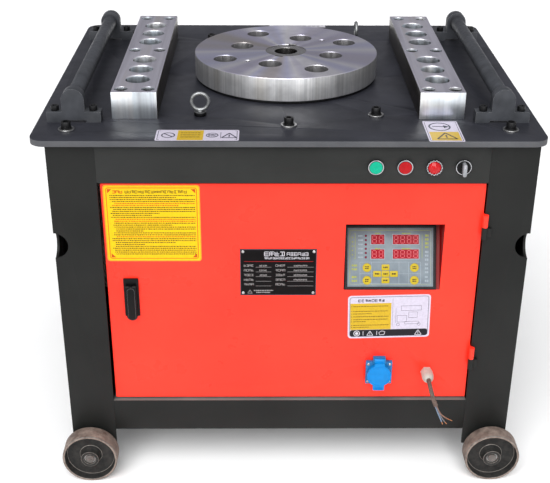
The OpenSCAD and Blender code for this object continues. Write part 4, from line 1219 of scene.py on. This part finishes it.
def gland_nut():
    """Cable gland: a hexagonal base and a domed nut with flutes."""
    mesh = bmesh.new()
    where = at(GLAND_X, DOOR_FACE, GLAND_Z, "-y")
    base = [(0, -0.5), (11.4, -0.5, "hex"), (11.4, 5.6, "hex"), (10.6, 6.2, "hex"), (0, 6.2)]
    lathe(mesh, base, where)
    nut = [
        (0, 6), (12.6, 6.2, "flute"), (12.7, 20, "flute"), (11.4, 27, "flute"), (8.6, 31.4),
        (6.2, 33), (4.2, 33), (4.2, 26), (0, 26),
    ]
    lathe(mesh, nut, where, 0, 72)
    piece("gland_nut", mesh, "door", [gland_plastic], replaces=["cable_gland"])


table_screw_set()
control_details()
lever_face()
socket_details()
gland_nut()


# --- floor and light ---


BRIGHT_SIDE = (0.10, -0.80, 0.59)
SUNLIGHT = (0.22, 0.85, -1.0)
SUN_SPREAD = math.radians(50)
FLOOR_HALF = 30


def make_world():
    """A soft room: bright in front of the machine, dimmer behind it and to its sides."""
    world = bpy.data.worlds.new("studio")
    world.use_nodes = True
    tree = world.node_tree
    around_us = tree.nodes.new("ShaderNodeTexCoord").outputs["Generated"]
    toward = calculate(tree, "DOT_PRODUCT", around_us, BRIGHT_SIDE, kind="ShaderNodeVectorMath")
    frontness = spread(tree, toward, 0, 1, -1, 1)
    room = ramp(
        tree,
        frontness,
        [
            (0.0, (0.30, 0.30, 0.33, 1)),
            (0.45, (0.36, 0.36, 0.38, 1)),
            (0.75, (0.72, 0.72, 0.73, 1)),
            (1.0, (0.95, 0.95, 0.95, 1)),
        ],
    )
    background = tree.nodes["Background"]
    tree.links.new(room, background.inputs["Color"])
    background.inputs["Strength"].default_value = 0.85
    bpy.context.scene.world = world


def make_studio():
    """A plain pale floor, a broad window light and two soft strips in front."""
    mesh = bpy.data.meshes.new("floor")
    corners = [(x * FLOOR_HALF, y * FLOOR_HALF, 0) for x, y in ((-1, -1), (1, -1), (1, 1), (-1, 1))]
    mesh.from_pydata(corners, [], [(0, 1, 2, 3)])
    floor = new_object("floor", mesh)
    mesh.materials.append(finish("floor_finish", (250, 250, 250), (254, 254, 254), (0.85, 0.95), grain=2))
    make_world()
    sun = bpy.data.lights.new("window_light", "SUN")
    sun.energy = 2.6
    sun.angle = SUN_SPREAD
    lamp = new_object("window_light", sun)
    lamp.rotation_euler = Vector(SUNLIGHT).to_track_quat("-Z", "Y").to_euler()
    for name, place, aim, size, power in (
        ("left_strip", (-1.2, -2.0, 1.5), (-0.1, 0, 0.8), (0.25, 1.6), 6),
        ("right_strip", (0.75, -2.2, 1.5), (0.1, 0, 0.8), (0.35, 1.6), 8),
    ):
        light = bpy.data.lights.new(name, "AREA")
        light.shape = "RECTANGLE"
        light.size, light.size_y = size
        light.energy = power
        lamp = new_object(name, light)
        lamp.location = place
        lamp.rotation_euler = (Vector(aim) - Vector(place)).to_track_quat("-Z", "Y").to_euler()
    bpy.context.scene.view_settings.view_transform = "Standard"


make_studio()
